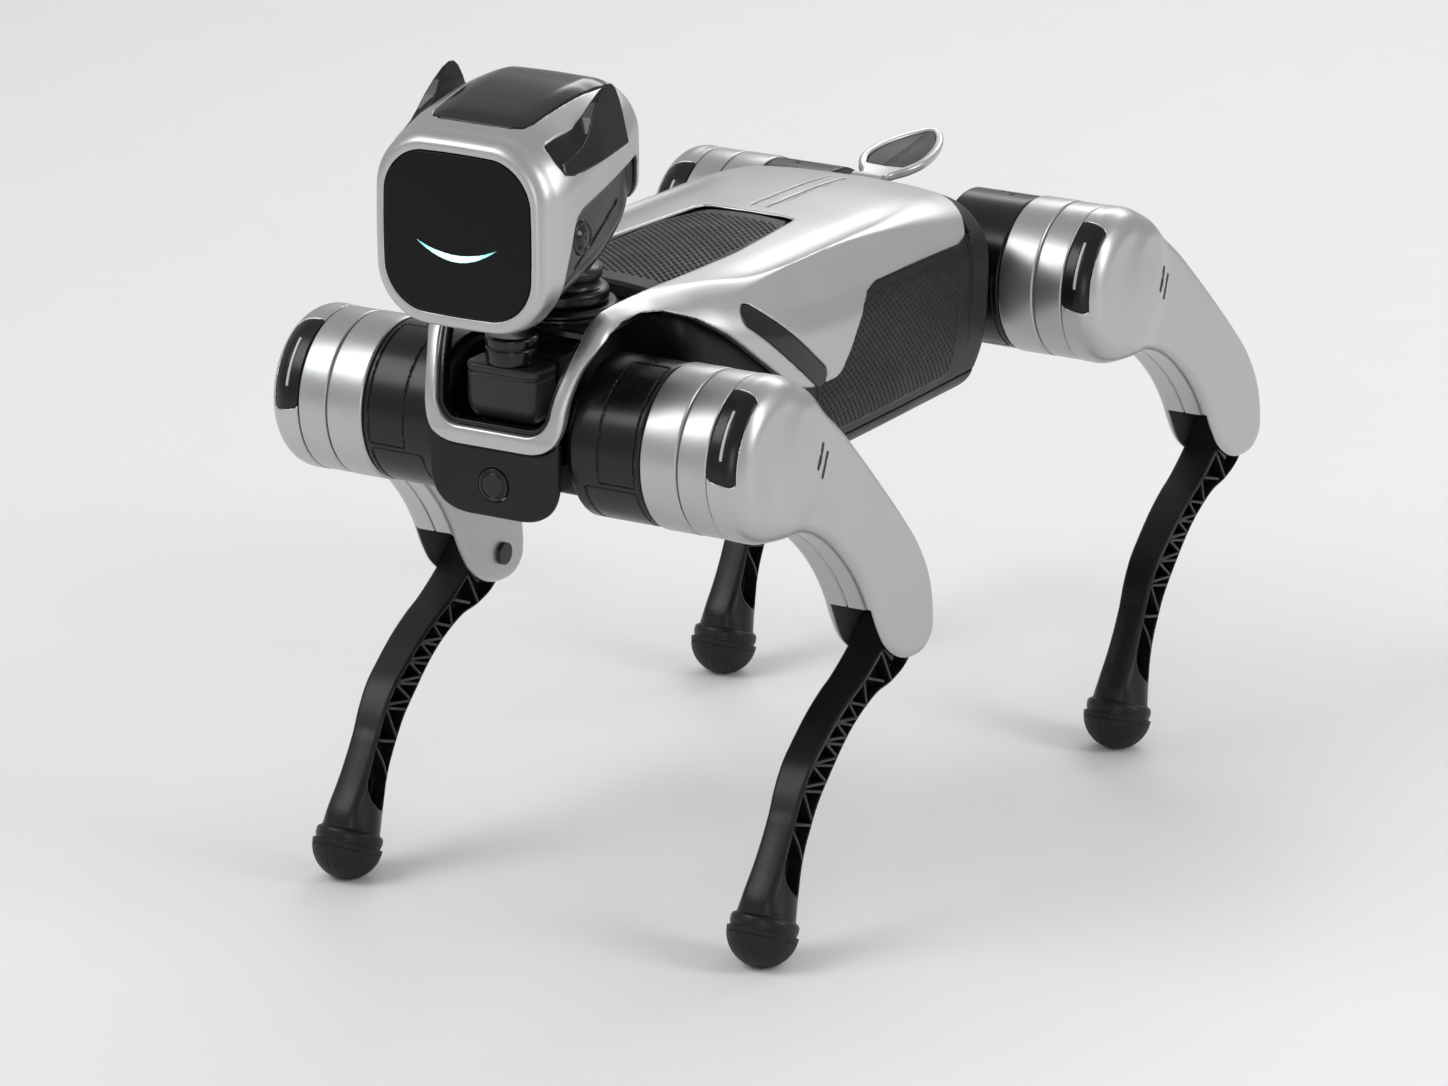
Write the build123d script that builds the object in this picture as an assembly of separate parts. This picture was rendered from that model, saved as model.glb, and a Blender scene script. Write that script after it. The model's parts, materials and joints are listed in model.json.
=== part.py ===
"""Quadruped robot dog: trunk, head, tail and four three-joint legs, one STEP file per piece.

Units are millimetres.  +Z is up, -Y is forwards and +X is the robot's left.  The layout is drawn about the
point on the floor midway between the hips, then moved along Y so that the origin is under the middle of the
whole machine.  Each leg is drawn once, on the left, in frames at its hip and knee, and mirrored for the right.
"""
import os
from math import acos, cos, degrees, radians

from build123d import *

# Driving dimensions ------------------------------------------------------------------------------------
WHEELBASE = 400.0          # hip pitch axis to hip pitch axis
HIP_Z = 291.0              # hip pitch axis above the floor
ABDUCTION_X = 60.0         # abduction axis from the middle plane
THIGH = 197.0              # hip axis to knee axis
SHANK = 195.0              # knee axis to foot centre
THIGH_ANGLE = {"f": 46.9, "r": 50.5}   # lean of the thigh back from vertical, front and rear legs
FOOT_RADIUS = 20.3
FOOT_Z = 19.2              # foot centre height: the ball is ground flat where it stands
CENTRE_Y = 46.5            # middle of the whole machine behind the middle of the wheelbase

BARREL_RADIUS = 45.0       # black hip barrel
BARREL_X = (38.0, 88.0)
DRUM_RADIUS = 46.0         # silver knee actuator beside it
DRUM_X = (88.5, 130.0)
DRUM_SEAM_X = 112.0
THIGH_X = (118.0, 152.0)   # both faces of the thigh's blade
PARTING_X = 135.0          # joint between inner cover and outer shell
SLOT_X = (123.5, 148.5)    # fork that the shank swings in
SHANK_X = (124.5, 147.5)
LEG_PLANE_X = 136.0
WALL = 3.0

RUNNING = 0.05             # radial clearance of every running fit
KNEE_PIN_RADIUS = 5.0
PITCH_SHAFT_RADIUS = 12.0
ABDUCTION_SHAFT_RADIUS = 10.0
ANKLE_LEAN = 20.0          # ankle axis turned from the knee-to-foot line

TRUNK_END = 150.0          # front and rear walls of the trunk, from its middle
TUB_FLOOR = 230.0
BELLY_X, BELLY_Y, BELLY_HOLE = 60.0, 120.0, 2.1    # four screw holes for a payload or a stand
KEEL_HALF = 20.0           # narrow keel between the front barrels
KEEL_FRONT = -246.0
CHEST_FRONT = -251.0
CHEST_HALF = 41.0
PEDESTAL_Z = 298.0         # seat of the sensor pedestal on the keel
BUTTON_RADIUS, BUTTON_Z = 9.3, 268.5

NECK_Y = -180.0
HEAD_PIVOT_Y, HEAD_PIVOT_Z = -188.0, 396.0
FACE_Y, FACE_Z = -284.0, 415.5
FACE_WIDTH, FACE_HEIGHT = 92.0, 89.0
TAIL_PIVOT_Y, TAIL_PIVOT_Z = 158.0, 343.0


# Small makers ------------------------------------------------------------------------------------------
def block(x, y, z):
    """Box from three (low, high) pairs."""
    size = [high - low for low, high in (x, y, z)]
    middle = [(high + low) / 2 for low, high in (x, y, z)]
    return Pos(*middle) * Box(*size)


def rod_x(radius, x, y=0.0, z=0.0):
    return Pos((x[0] + x[1]) / 2, y, z) * Rot(0, 90, 0) * Cylinder(radius, x[1] - x[0])


def rod_y(radius, y, x=0.0, z=0.0):
    return Pos(x, (y[0] + y[1]) / 2, z) * Rot(90, 0, 0) * Cylinder(radius, y[1] - y[0])


def rod_z(radius, z, x=0.0, y=0.0):
    return Pos(x, y, (z[0] + z[1]) / 2) * Cylinder(radius, z[1] - z[0])


def polygon(*points):
    return make_face(Polyline(*points, close=True))


def side_slab(profile, x):
    """Extrude a (y, z) profile between two x values."""
    return extrude(Plane.YZ.offset(x[0]) * profile, amount=x[1] - x[0])


def front_slab(profile, y):
    """Extrude an (x, z) profile between two y values."""
    plane = Plane(origin=(0, y[1], 0), x_dir=(1, 0, 0), z_dir=(0, -1, 0))
    return extrude(plane * profile, amount=y[1] - y[0])


def plan_slab(profile, z):
    """Extrude an (x, y) profile between two z values."""
    return extrude(Plane.XY.offset(z[0]) * profile, amount=z[1] - z[0])


def mirrored(points):
    """Right half of an outline, from the middle plane outwards, completed on the left."""
    return list(points) + [(-x, v) for x, v in reversed(points) if x > 0]


def both(solid):
    """A left-hand solid with its mirror image."""
    return solid + mirror(solid, about=Plane.YZ)


def tunnel(stations, inset=0.0, floor=240.0):
    """Loft through (y, half width, top, corner radius) stations that share a floor."""
    rings = []
    for y, half, top, radius in stations:
        height = top - inset - floor
        ring = RectangleRounded(2 * (half - inset), height, max(radius - inset, 1.0))
        plane = Plane(origin=(0, y, floor + height / 2), x_dir=(1, 0, 0), z_dir=(0, -1, 0))
        rings.append(plane * ring)
    return loft(rings, ruled=True)


# Leg outlines, seen from the side: first value rearwards of the limb's line, second along it -----------------
def blade_outline():
    """Thigh: straight back edge, hollowed front edge and slanted tip."""
    corners = [(46, 0), (46, -166), (36, -202), (9, -222), (-20, -199), (-22, -176), (-7, -126), (-7, -80),
               (-34, -30)]
    rounds = [5, 50, 18, 9, 9, 25, 50, 50, 5]
    return make_face(FilletPolyline(*corners, radius=rounds, close=True))


def blade_face():
    return blade_outline() + Circle(DRUM_RADIUS)


def shank_face():
    """Shank: round head on the knee pin, bowed forwards, down to the ankle."""
    corners = [(-15, 0), (-16, -30), (-31, -76), (-35, -112), (-29, -140), (-17, -182), (9, -176), (-3, -146),
               (-14, -108), (-12, -80), (-2, -44), (17, -13), (15, 0)]
    rounds = [0.5, 50, 80, 50, 80, 1, 1, 80, 60, 60, 30, 3, 0.5]
    return make_face(FilletPolyline(*corners, radius=rounds, close=True)) + Circle(15)


def slot_face():
    """Room for the shank between the cheeks of the thigh."""
    tip = -THIGH - 40
    mouth = polygon((-60, -160), (-9, -160), (3, -172), (3, tip), (-60, tip))
    return mouth + Pos(0, -THIGH) * Circle(23)


# Leg pieces in the hip's frame --------------------------------------------------------------------------
def hip_housing():
    """Black barrel, open towards the thigh, with the abduction shaft on its trunk side."""
    inner, outer = BARREL_X
    gap = WHEELBASE / 2 - TRUNK_END
    barrel = rod_x(BARREL_RADIUS, BARREL_X)
    barrel = fillet(barrel.edges().filter_by(GeomType.CIRCLE).sort_by(Axis.X)[0], 7)
    barrel += rod_y(18, (30, gap - 2), ABDUCTION_X)
    barrel -= rod_x(BARREL_RADIUS - WALL, (inner + WALL, outer + 1))
    return barrel + rod_y(ABDUCTION_SHAFT_RADIUS, (gap - 3, gap + 24), ABDUCTION_X)


def hip_motor():
    """Pitch actuator inside the barrel, with the shaft that carries the thigh."""
    inner, outer = BARREL_X
    motor = rod_x(BARREL_RADIUS - WALL - 0.5, (inner + WALL, outer - 8))
    motor = chamfer(motor.edges().filter_by(GeomType.CIRCLE), 2)
    return motor + rod_x(PITCH_SHAFT_RADIUS, (outer - 9, outer + 14))


def thigh_drum():
    """Silver knee actuator: two rings parted by a fine groove."""
    drum = rod_x(DRUM_RADIUS, DRUM_X)
    drum = chamfer(drum.edges().filter_by(GeomType.CIRCLE), 0.8)
    seam = (DRUM_SEAM_X - 0.6, DRUM_SEAM_X + 0.6)
    drum -= rod_x(DRUM_RADIUS + 1, seam) - rod_x(DRUM_RADIUS - 1, seam)
    return drum - rod_x(PITCH_SHAFT_RADIUS + RUNNING, (DRUM_X[0] - 1, DRUM_X[0] + 15))


def light_band(outer, inner):
    """Ring sector on the upper front of the drum cap."""
    x = (DRUM_X[1] + 2, DRUM_X[1] + 12)
    wedge = polygon((0, 0), (-14, 80), (-80, 80), (-80, -8))
    return side_slab(wedge, x) & (rod_x(outer, x) - rod_x(inner, x))


def thigh_shell():
    """Outer silver shell: drum cap and the outer half of the blade, hollow, with one knee cheek."""
    cap = rod_x(DRUM_RADIUS, (DRUM_X[1], THIGH_X[1]))
    cap = fillet(cap.faces().sort_by(Axis.X)[-1].edges(), 7)
    blade = side_slab(blade_outline(), (PARTING_X, THIGH_X[1]))
    body = cap + fillet(blade.faces().sort_by(Axis.X)[-1].edges(), 5)
    cavity = side_slab(offset(blade_face(), amount=-WALL), (PARTING_X - 1, THIGH_X[1] - WALL))
    cavity -= rod_x(30, (PARTING_X - 2, THIGH_X[1]), 0, -THIGH)
    body -= cavity
    body -= rod_x(DRUM_RADIUS - WALL - 2, (DRUM_X[1] + WALL, THIGH_X[1] - WALL))
    body -= side_slab(slot_face(), (PARTING_X - 1, SLOT_X[1]))
    body -= light_band(DRUM_RADIUS + 1, DRUM_RADIUS - 2)
    return body - rod_x(KNEE_PIN_RADIUS, (PARTING_X, SLOT_X[1] + 1.5), 0, -THIGH)


def thigh_inner_cover():
    """Inner silver cover: the half of the blade beside the trunk, with the other knee cheek."""
    blade = blade_face() - Circle(DRUM_RADIUS + 1)
    body = side_slab(blade, (THIGH_X[0], PARTING_X))
    body = body.solids().sort_by(SortBy.VOLUME)[-1]
    cavity = offset(blade_face(), amount=-WALL) - Circle(DRUM_RADIUS + 1 + WALL)
    cavity = side_slab(cavity, (THIGH_X[0] + WALL, PARTING_X + 1))
    body -= cavity - rod_x(30, THIGH_X, 0, -THIGH)
    body -= side_slab(slot_face(), (SLOT_X[0], PARTING_X + 1))
    return body - rod_x(KNEE_PIN_RADIUS, (THIGH_X[0] - 1, SLOT_X[0] + 1), 0, -THIGH)


def light_bar():
    """Black insert with a thin raised light guide along its middle."""
    insert = light_band(DRUM_RADIUS - 0.3, DRUM_RADIUS - 2)
    guide_x = (DRUM_X[1] + 6.3, DRUM_X[1] + 7.7)
    return insert + (light_band(DRUM_RADIUS, DRUM_RADIUS - 1) & rod_x(60, guide_x))


def knee_shaft():
    """Pin through both cheeks, with a round head on the inner one."""
    pin = rod_x(KNEE_PIN_RADIUS, (THIGH_X[0], SLOT_X[1] + 1.5), 0, -THIGH)
    return pin + rod_x(KNEE_PIN_RADIUS + 1.5, (THIGH_X[0] - 2, THIGH_X[0]), 0, -THIGH)


# Shank and foot in the knee's frame ------------------------------------------------------------------------
def on_ankle(solid):
    """Place a solid drawn about Z, with the foot centre at its origin, on the ankle's axis."""
    return Pos(LEG_PLANE_X, 0, -SHANK) * Rot(ANKLE_LEAN, 0, 0) * solid


def truss_ribs(levels, thickness=2.6):
    """Cross ribs at each level, with one slanting rib between each pair."""
    ribs = Sketch()
    for low, high in zip(levels, levels[1:]):
        ribs += polygon((-60, low), (30, low), (30, low - thickness), (-60, low - thickness))
        ribs += polygon((-36, low), (-32, low), (0, high), (-4, high))
    return ribs


def shank():
    """Bowed black beam with a lattice of through pockets, a knee bore and a flared ankle."""
    beam = side_slab(shank_face(), SHANK_X)
    pockets = offset(shank_face(), amount=-4.0) & (Pos(0, -98) * Rectangle(120, 128))
    pockets -= truss_ribs([-38, -56, -74, -92, -110, -130])
    beam -= side_slab(pockets, (SHANK_X[0] - 1, SHANK_X[1] + 1))
    wide, narrow = (SHANK_X[1] - SHANK_X[0]) / 2, 8.0
    taper = Pos(LEG_PLANE_X, 0) * polygon((-wide, 20), (wide, 20), (wide, -55), (narrow, -150),
                                          (narrow, -190), (-narrow, -190), (-narrow, -150), (-wide, -55))
    beam &= front_slab(taper, (-80, 80))
    flare = on_ankle(Pos(0, 0, 22) * Cone(17.0, 12.0, 30))
    collar = on_ankle(Pos(0, 0, 3.5) * Cylinder(FOOT_RADIUS - 1, 7))
    return beam + flare + collar - rod_x(KNEE_PIN_RADIUS + RUNNING, (0, 200))


def foot(lean):
    """Rubber ball below the ankle's collar, ground flat at floor level."""
    ball = on_ankle(Sphere(FOOT_RADIUS) & (Pos(0, 0, -30) * Box(60, 60, 60)))
    ball = Rot(lean, 0, 0) * ball
    centre = Rot(lean, 0, 0) * Pos(LEG_PLANE_X, 0, -SHANK)
    floor = centre.position.Z - FOOT_Z
    return Rot(-lean, 0, 0) * (ball - block((0, 300), (-400, 400), (floor - 60, floor)))


# Trunk -----------------------------------------------------------------------------------------------
SHELL_STATIONS = [(-252, 46, 352, 8), (-232, 55, 360, 9), (-205, 58, 365, 9), (-170, 64, 364, 12),
                  (-150, 71, 363, 18), (-130, 79, 362, 22), (-108, 86, 361, 26), (-80, 91, 360, 28),
                  (-45, 93.5, 359, 28), (40, 95, 358, 28), (118, 93, 354, 28), (138, 88, 351, 28),
                  (TRUNK_END, 78, 348, 26)]
SHELL_EDGE = [(-260, 344), (-240, 346), (-228, 353), (-205, 357), (-170, 355), (-150, 347), (-132, 334),
              (-112, 317), (-85, 298), (-52, 284), (-44, 286), (-26, 302), (-13, 322), (-4, 331),
              (30, 334), (118, 333), (126, 340), (146, 342.5), (160, 343)]
NECK_OPENING = [(0, 21), (30, 21), (38, -60), (42, -190), (41, -262), (0, -262)]


def strip_slot(x, shrink=0.0):
    """Slanted slot in the side lobe, from the shoulder down to the lobe's tip."""
    run = Vector(66, -54)
    side = Vector(-run.Y, run.X).normalized() * (6.5 - shrink)
    along = run.normalized() * shrink
    start, end = Vector(-119, 345) + along, Vector(-53, 291) - along
    corners = [start + side, start - side, end - side, end + side]
    return side_slab(fillet(polygon(*[(c.X, c.Y) for c in corners]).vertices(), 4), x)


def shell_hull(inset=0.0):
    """The trunk's outer form, optionally shrunk inwards."""
    if not inset:
        return tunnel(SHELL_STATIONS)
    ends = [(y + (0 if y < 0 else -inset), *rest) for y, *rest in SHELL_STATIONS]
    return tunnel(ends, inset)


def top_shell():
    """Silver shell: back, two arms over the front barrels, side lobes and the U-shaped collar."""
    shell = shell_hull() - shell_hull(WALL)
    shell -= side_slab(polygon((-262, 200), *SHELL_EDGE, (160, 200)), (-120, 120))
    shell -= plan_slab(polygon(*mirrored(NECK_OPENING)), (300, 400))
    shell -= block((-120, 120), (-260, -251), (200, 400))
    for x in (4.0, -6.0):
        shell -= block((x, x + 2), (33, 124), (357, 370))
    shell -= strip_slot((60, 120)) + strip_slot((-120, -60))
    collar = (Pos(0, 334) * RectangleRounded(90, 92, 20)) - (Pos(0, 347) * RectangleRounded(72, 90, 15))
    collar = front_slab(collar, (-254, KEEL_FRONT - 0.2)) & block((-60, 60), (-260, -240), (280, 351))
    return collar + shell.solids().sort_by(SortBy.VOLUME)[-1]


def shoulder_strips():
    """Black strips let into the two lobes."""
    ring = shell_hull(0.6) - shell_hull(WALL - 0.4)
    return ring & (strip_slot((60, 120), 0.2) + strip_slot((-120, -60), 0.2))


TUB_STATIONS = [
    (-TRUNK_END, [(50, 338), (62, 333), (74, 318), (85, 294), (83, 262), (74, 236), (68, TUB_FLOOR)]),
    (-60, [(58, 344), (76, 338), (84, 328), (89, 294), (85, 262), (75, 236), (69, TUB_FLOOR)]),
    (-10, [(60, 345), (79, 339), (89.5, 328), (91, 294), (86, 262), (76, 236), (70, TUB_FLOOR)]),
    (112, [(60, 345), (79, 339), (89, 328), (91, 294), (86, 262), (76, 236), (70, TUB_FLOOR)]),
    (TRUNK_END, [(50, 342), (62, 338), (73, 328), (87, 294), (84, 262), (75, 236), (69, TUB_FLOOR)])]


def tub_form(inset=0.0):
    """Loft of the tub; the inset form stands taller, so that it opens the top."""
    sections = []
    for y, outline in TUB_STATIONS:
        y += inset if y == -TRUNK_END else (-inset if y == TRUNK_END else 0)
        points = [(x - inset, z) for x, z in outline]
        if inset:
            points = [(points[0][0], 400), *points[1:-1], (points[-1][0], TUB_FLOOR + inset)]
        face = polygon(*points, *[(-x, z) for x, z in reversed(points)])
        sections.append(Plane(origin=(0, y, 0), x_dir=(1, 0, 0), z_dir=(0, -1, 0)) * face)
    return loft(sections, ruled=True)


def body_tub():
    """Black lower body, open at the top, with holes for the abduction shafts and lugs for the tail."""
    tub = tub_form() - tub_form(WALL)
    for side in (-1, 1):
        for end in (-1, 1):
            y = sorted((end * (TRUNK_END - 8), end * (TRUNK_END + 2)))
            tub -= rod_y(ABDUCTION_SHAFT_RADIUS + 2, y, side * ABDUCTION_X, HIP_Z)
    tub -= block((-KEEL_HALF - 0.5, KEEL_HALF + 0.5), (-TRUNK_END - 2, -TRUNK_END + 8), (235, 400))
    lug = block((11, 15), (TRUNK_END - 1, TAIL_PIVOT_Y), (332, 342)) + rod_x(7, (11, 15), TAIL_PIVOT_Y, 342)
    tub += both(lug) - rod_x(3 + RUNNING, (-20, 20), TAIL_PIVOT_Y, TAIL_PIVOT_Z)
    for x in (-BELLY_X / 2, BELLY_X / 2):
        for y in (-BELLY_Y / 2, BELLY_Y / 2):
            tub -= rod_z(BELLY_HOLE, (TUB_FLOOR - 1, TUB_FLOOR + WALL + 1), x, y)
    return tub


def chassis():
    """Floor tray, keel between the front barrels and the nose that the chest plate bolts to."""
    tray = block((-66, 66), (-140, 144), (236, 241))
    keel = block((-KEEL_HALF, KEEL_HALF), (KEEL_FRONT, -138), (258, 334))
    keel -= block((-30, 30), (-230, -160), (272, 290))
    keel -= block((-30, 30), (-250, -214), (PEDESTAL_Z, 340))
    keel += block((-KEEL_HALF, KEEL_HALF), (-150, -138), (236, 262))
    keel -= rod_y(11, (KEEL_FRONT - 1, KEEL_FRONT + 7), 0, BUTTON_Z)
    keel -= rod_z(PITCH_SHAFT_RADIUS + 1, (322, 340), 0, NECK_Y)
    return tray + keel


def abduction_motors():
    """Four actuators in the corners of the trunk, each with the bore that carries a hip."""
    start, end = TRUNK_END - WALL - 0.5, 102.0
    group = Part()
    for side in (-1, 1):
        for way in (-1, 1):
            y = sorted((way * start, way * end))
            motor = rod_y(21, y, side * ABDUCTION_X, HIP_Z)
            motor = chamfer(motor.edges().filter_by(GeomType.CIRCLE), 1.5)
            bore = sorted((way * (start + 1), way * (TRUNK_END - 26)))
            group += motor - rod_y(ABDUCTION_SHAFT_RADIUS + RUNNING, bore, side * ABDUCTION_X, HIP_Z)
    return group


def neck_grille():
    """Black panel behind the neck, with rows of fine slots."""
    outline = [(0, 20.6), (29.4, 20.6), (37.5, -60), (40.5, -146), (0, -146)]
    panel = plan_slab(polygon(*mirrored(outline)), (350, 356))
    panel = fillet(panel.edges().filter_by(Axis.Z).sort_by(Axis.Y)[-2:], 5)
    for row in range(9):
        y = -10 - 13 * row
        panel -= block((-24, 24), (y, y + 3), (353.5, 360))
    return panel


def chest_plate():
    plate = (Pos(0, 275) * RectangleRounded(2 * CHEST_HALF, 50, 14)) + (Pos(0, 290) * Rectangle(60, 20))
    plate = front_slab(plate, (CHEST_FRONT, KEEL_FRONT - 0.5))
    plate -= front_slab(Pos(0, 334) * RectangleRounded(90.6, 92.6, 20.3), (-260, -244.5))
    return plate - rod_y(BUTTON_RADIUS + 0.3, (-260, -240), 0, BUTTON_Z)


def chest_button():
    """Round push button with a ring groove in its face."""
    button = rod_y(BUTTON_RADIUS, (CHEST_FRONT - 0.6, KEEL_FRONT + 2), 0, BUTTON_Z)
    ring = rod_y(7.4, (CHEST_FRONT - 1, CHEST_FRONT), 0, BUTTON_Z) - rod_y(6.6, (-260, -240), 0, BUTTON_Z)
    return button - ring


def lidar_pedestal():
    """Rounded block that stands on the keel inside the collar."""
    post = plan_slab(Pos(0, -232.5) * RectangleRounded(48, 25, 9), (PEDESTAL_Z, 333))
    return chamfer(post.edges().group_by(Axis.Z)[-1], 2)


def lidar_cap():
    """Round sensor window on the pedestal."""
    cap = rod_z(20.5, (333, 346), 0, -232.5) & block((-30, 30), (-245.8, -215), (300, 400))
    return chamfer(cap.edges().group_by(Axis.Z)[-1], 1)


def neck_base():
    """Black bridge between the arms with the yaw bearing of the neck."""
    bridge = plan_slab(polygon(*mirrored([(0, -149), (40, -149), (40, -216), (22, -218), (0, -218)])), (346, 350))
    ring = rod_z(30, (346, 356), 0, NECK_Y) + rod_z(19, (334.5, 347), 0, NECK_Y)
    ring = chamfer(ring.edges().group_by(Axis.Z)[-1], 2)
    return bridge + ring - rod_z(PITCH_SHAFT_RADIUS + RUNNING, (330, 360), 0, NECK_Y)


def neck_yoke():
    """Turning neck: spindle, round flange, post and the cross axle of the head."""
    post = plan_slab(Pos(0, NECK_Y - 3) * RectangleRounded(30, 26, 8), (358, HEAD_PIVOT_Z))
    yoke = rod_z(PITCH_SHAFT_RADIUS, (326, 360), 0, NECK_Y) + rod_z(26, (356.4, 364), 0, NECK_Y) + post
    yoke += rod_x(13, (-15, 15), HEAD_PIVOT_Y, HEAD_PIVOT_Z)
    return yoke + rod_x(6, (-27, 27), HEAD_PIVOT_Y, HEAD_PIVOT_Z)


# Head --------------------------------------------------------------------------------------------------
HEAD_STATIONS = [(FACE_Y, 50, 364, 467, 22), (FACE_Y + 10, 57, 363, 472, 28), (-240, 56, 368, 479, 30),
                 (-205, 52, 378, 484, 30), (-180, 42, 398, 484, 26), (-168, 33, 415, 478, 20)]


def head_hull(inset=0.0):
    rings = []
    for y, half, low, high, radius in HEAD_STATIONS:
        ring = RectangleRounded(2 * (half - inset), high - low - 2 * inset, max(radius - inset, 4))
        y += inset if y == HEAD_STATIONS[0][0] else (-inset if y == HEAD_STATIONS[-1][0] else 0)
        plane = Plane(origin=(0, y, (low + high) / 2), x_dir=(1, 0, 0), z_dir=(0, -1, 0))
        rings.append(plane * ring)
    return loft(rings, ruled=True)


def side_window(x):
    """Recess in the side of the head that shows the black inner head."""
    return side_slab(polygon((-262, 384), (-262, 404), (-222, 452), (-174, 452), (-150, 430), (-150, 360),
                             (-225, 360)), x)


def head_shell():
    """Silver head shell around the face, open behind and below for the neck."""
    shell = head_hull() - head_hull(WALL)
    shell -= front_slab(Pos(0, FACE_Z) * RectangleRounded(FACE_WIDTH, FACE_HEIGHT, 22), (-300, -270))
    shell -= side_window((20, 80)) + side_window((-80, -20))
    shell -= block((-34, 34), (-250, -100), (340, 430))
    shell -= top_pocket((455, 500))
    return shell.solids().sort_by(SortBy.VOLUME)[-1]


def top_pocket(z, shrink=0.0):
    """Plan outline of the black roof panel."""
    outline = [(0, -266 + shrink), (28 - shrink, -266 + shrink), (34 - shrink, -184 - shrink), (0, -180 - shrink)]
    return plan_slab(polygon(*mirrored(outline)), z)


def head_top_panel():
    return (head_hull(0.2) - head_hull(WALL)) & top_pocket((455, 500), 0.3)


def head_core():
    """Black inner head: housing of the electronics, with the bores of the pitch axle."""
    core = head_hull(WALL + 0.3) - block((-80, 80), (-300, -276), (340, 500))
    core -= block((-18, 18), (-240, -150), (340, 426))
    core -= block((-70, 70), (-300, -150), (340, 371))
    core -= rod_x(6 + RUNNING, (-28, 28), HEAD_PIVOT_Y, HEAD_PIVOT_Z)
    return core - block((-36, 36), (-268, -200), (432, 466))


def face_screen():
    screen = front_slab(Pos(0, FACE_Z) * RectangleRounded(FACE_WIDTH - 0.6, FACE_HEIGHT - 0.6, 21.7),
                        (FACE_Y - 1.5, FACE_Y + 2))
    screen = fillet(screen.faces().sort_by(Axis.Y)[0].edges(), 1)
    return screen - face_arc()


def face_arc():
    """Smile-shaped light in the front of the screen."""
    arc = make_face([ThreePointArc((-27, 412), (0, 401), (27, 412)), ThreePointArc((27, 412), (0, 405), (-27, 412))])
    return front_slab(arc, (FACE_Y - 1.5, FACE_Y - 0.7))


def ears():
    """Two pointed fins at the front corners of the roof."""
    low = Plane.XY.offset(464) * polygon((33, -262), (48, -258), (53, -222), (42, -218))
    tip = Plane.XY.offset(489.5) * polygon((48, -212), (50, -212), (50.5, -208), (48.5, -208))
    return both(loft([low, tip], ruled=True)) - head_hull()


def temple_pods():
    """Round domed pods in the side recesses."""
    pod = rod_x(10, (44, 54), -238, 412)
    pod = fillet(pod.edges().filter_by(GeomType.CIRCLE).sort_by(Axis.X)[-1], 4)
    return both(pod) - head_hull(WALL + 0.3)


# Insides and tail ----------------------------------------------------------------------------------------
def battery_pack():
    pack = block((-40, 40), (-92, 60), (243, 300))
    return fillet(pack.edges().filter_by(Axis.Y), 6)


def main_board():
    board = block((-38, 38), (-85, 55), (306, 308))
    for x, y, size, high in ((0, 0, 30, 6), (-22, -50, 18, 4), (20, -55, 22, 4), (22, 35, 16, 8)):
        board += block((x - size / 2, x + size / 2), (y - size / 2, y + size / 2), (308, 308 + high))
    return board


def tail_outline(shrink=0.0):
    """Leaf in plan: rounded root, straight sides and a blunt tip."""
    half = [(9, 160), (9, 168), (21 - shrink, 182), (17 - shrink, 212), (5, 238 - 2 * shrink)]
    return polygon(*half, *[(-x, y) for x, y in reversed(half)])


def tail_slope(thickness, lift=0.0):
    """Slab that climbs gently from the root to the tip."""
    low, high = TAIL_PIVOT_Z + lift, TAIL_PIVOT_Z + 13 + lift
    return side_slab(polygon((158, low), (240, high), (240, high + thickness), (158, low + thickness)), (-40, 40))


def tail_fin():
    """Silver leaf with a raised rim, on a cross pin."""
    leaf = plan_slab(tail_outline(), (300, 400)) & tail_slope(6, -3)
    leaf -= plan_slab(tail_outline(5) & (Pos(0, 210) * Rectangle(60, 64)), (300, 400)) & tail_slope(6, 0)
    root = rod_x(6, (-10, 10), TAIL_PIVOT_Y, TAIL_PIVOT_Z) + rod_x(3, (-15, 15), TAIL_PIVOT_Y, TAIL_PIVOT_Z)
    return leaf + root


def tail_inlay():
    inlay = plan_slab(tail_outline(5) & (Pos(0, 210) * Rectangle(60, 64)), (300, 400))
    return inlay & tail_slope(2, 0)


# Assembly ------------------------------------------------------------------------------------------------
def shank_lean(end):
    """Turn of the shank from vertical that puts the foot at its height."""
    knee_z = HIP_Z - THIGH * cos(radians(THIGH_ANGLE[end]))
    return -degrees(acos((knee_z - FOOT_Z) / SHANK))


def leg(end, side):
    """All pieces of one leg, in place."""
    lean, turn = THIGH_ANGLE[end], shank_lean(end)
    hip = Pos(0, WHEELBASE / 2 * (-1 if end == "f" else 1), HIP_Z)
    thigh = hip * Rot(lean, 0, 0)
    knee = thigh * Pos(0, 0, -THIGH) * Rot(turn - lean, 0, 0)
    housing = hip_housing() if end == "f" else mirror(hip_housing(), about=Plane.XZ)
    pieces = {"hip_housing": hip * housing, "hip_motor": hip * hip_motor()}
    for make in (thigh_drum, thigh_shell, thigh_inner_cover, light_bar, knee_shaft):
        pieces[make.__name__] = thigh * make()
    pieces["shank"] = knee * shank()
    pieces["foot"] = knee * foot(turn)
    for name, piece in pieces.items():
        yield f"{name}_{end}{side}", piece if side == "l" else mirror(piece, about=Plane.YZ)


def assembly():
    nodes = {}
    for make in (chassis, top_shell, body_tub, shoulder_strips, neck_grille, chest_plate, chest_button,
                 lidar_pedestal, lidar_cap, battery_pack, main_board, abduction_motors, neck_base, neck_yoke,
                 head_shell, head_core, face_screen, head_top_panel, ears, temple_pods, tail_fin, tail_inlay):
        nodes[make.__name__] = make()
    nodes["face_light"] = face_arc()
    for end in "fr":
        for side in "lr":
            nodes.update(leg(end, side))
    return {name: Pos(0, -CENTRE_Y, 0) * piece for name, piece in nodes.items()}


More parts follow.
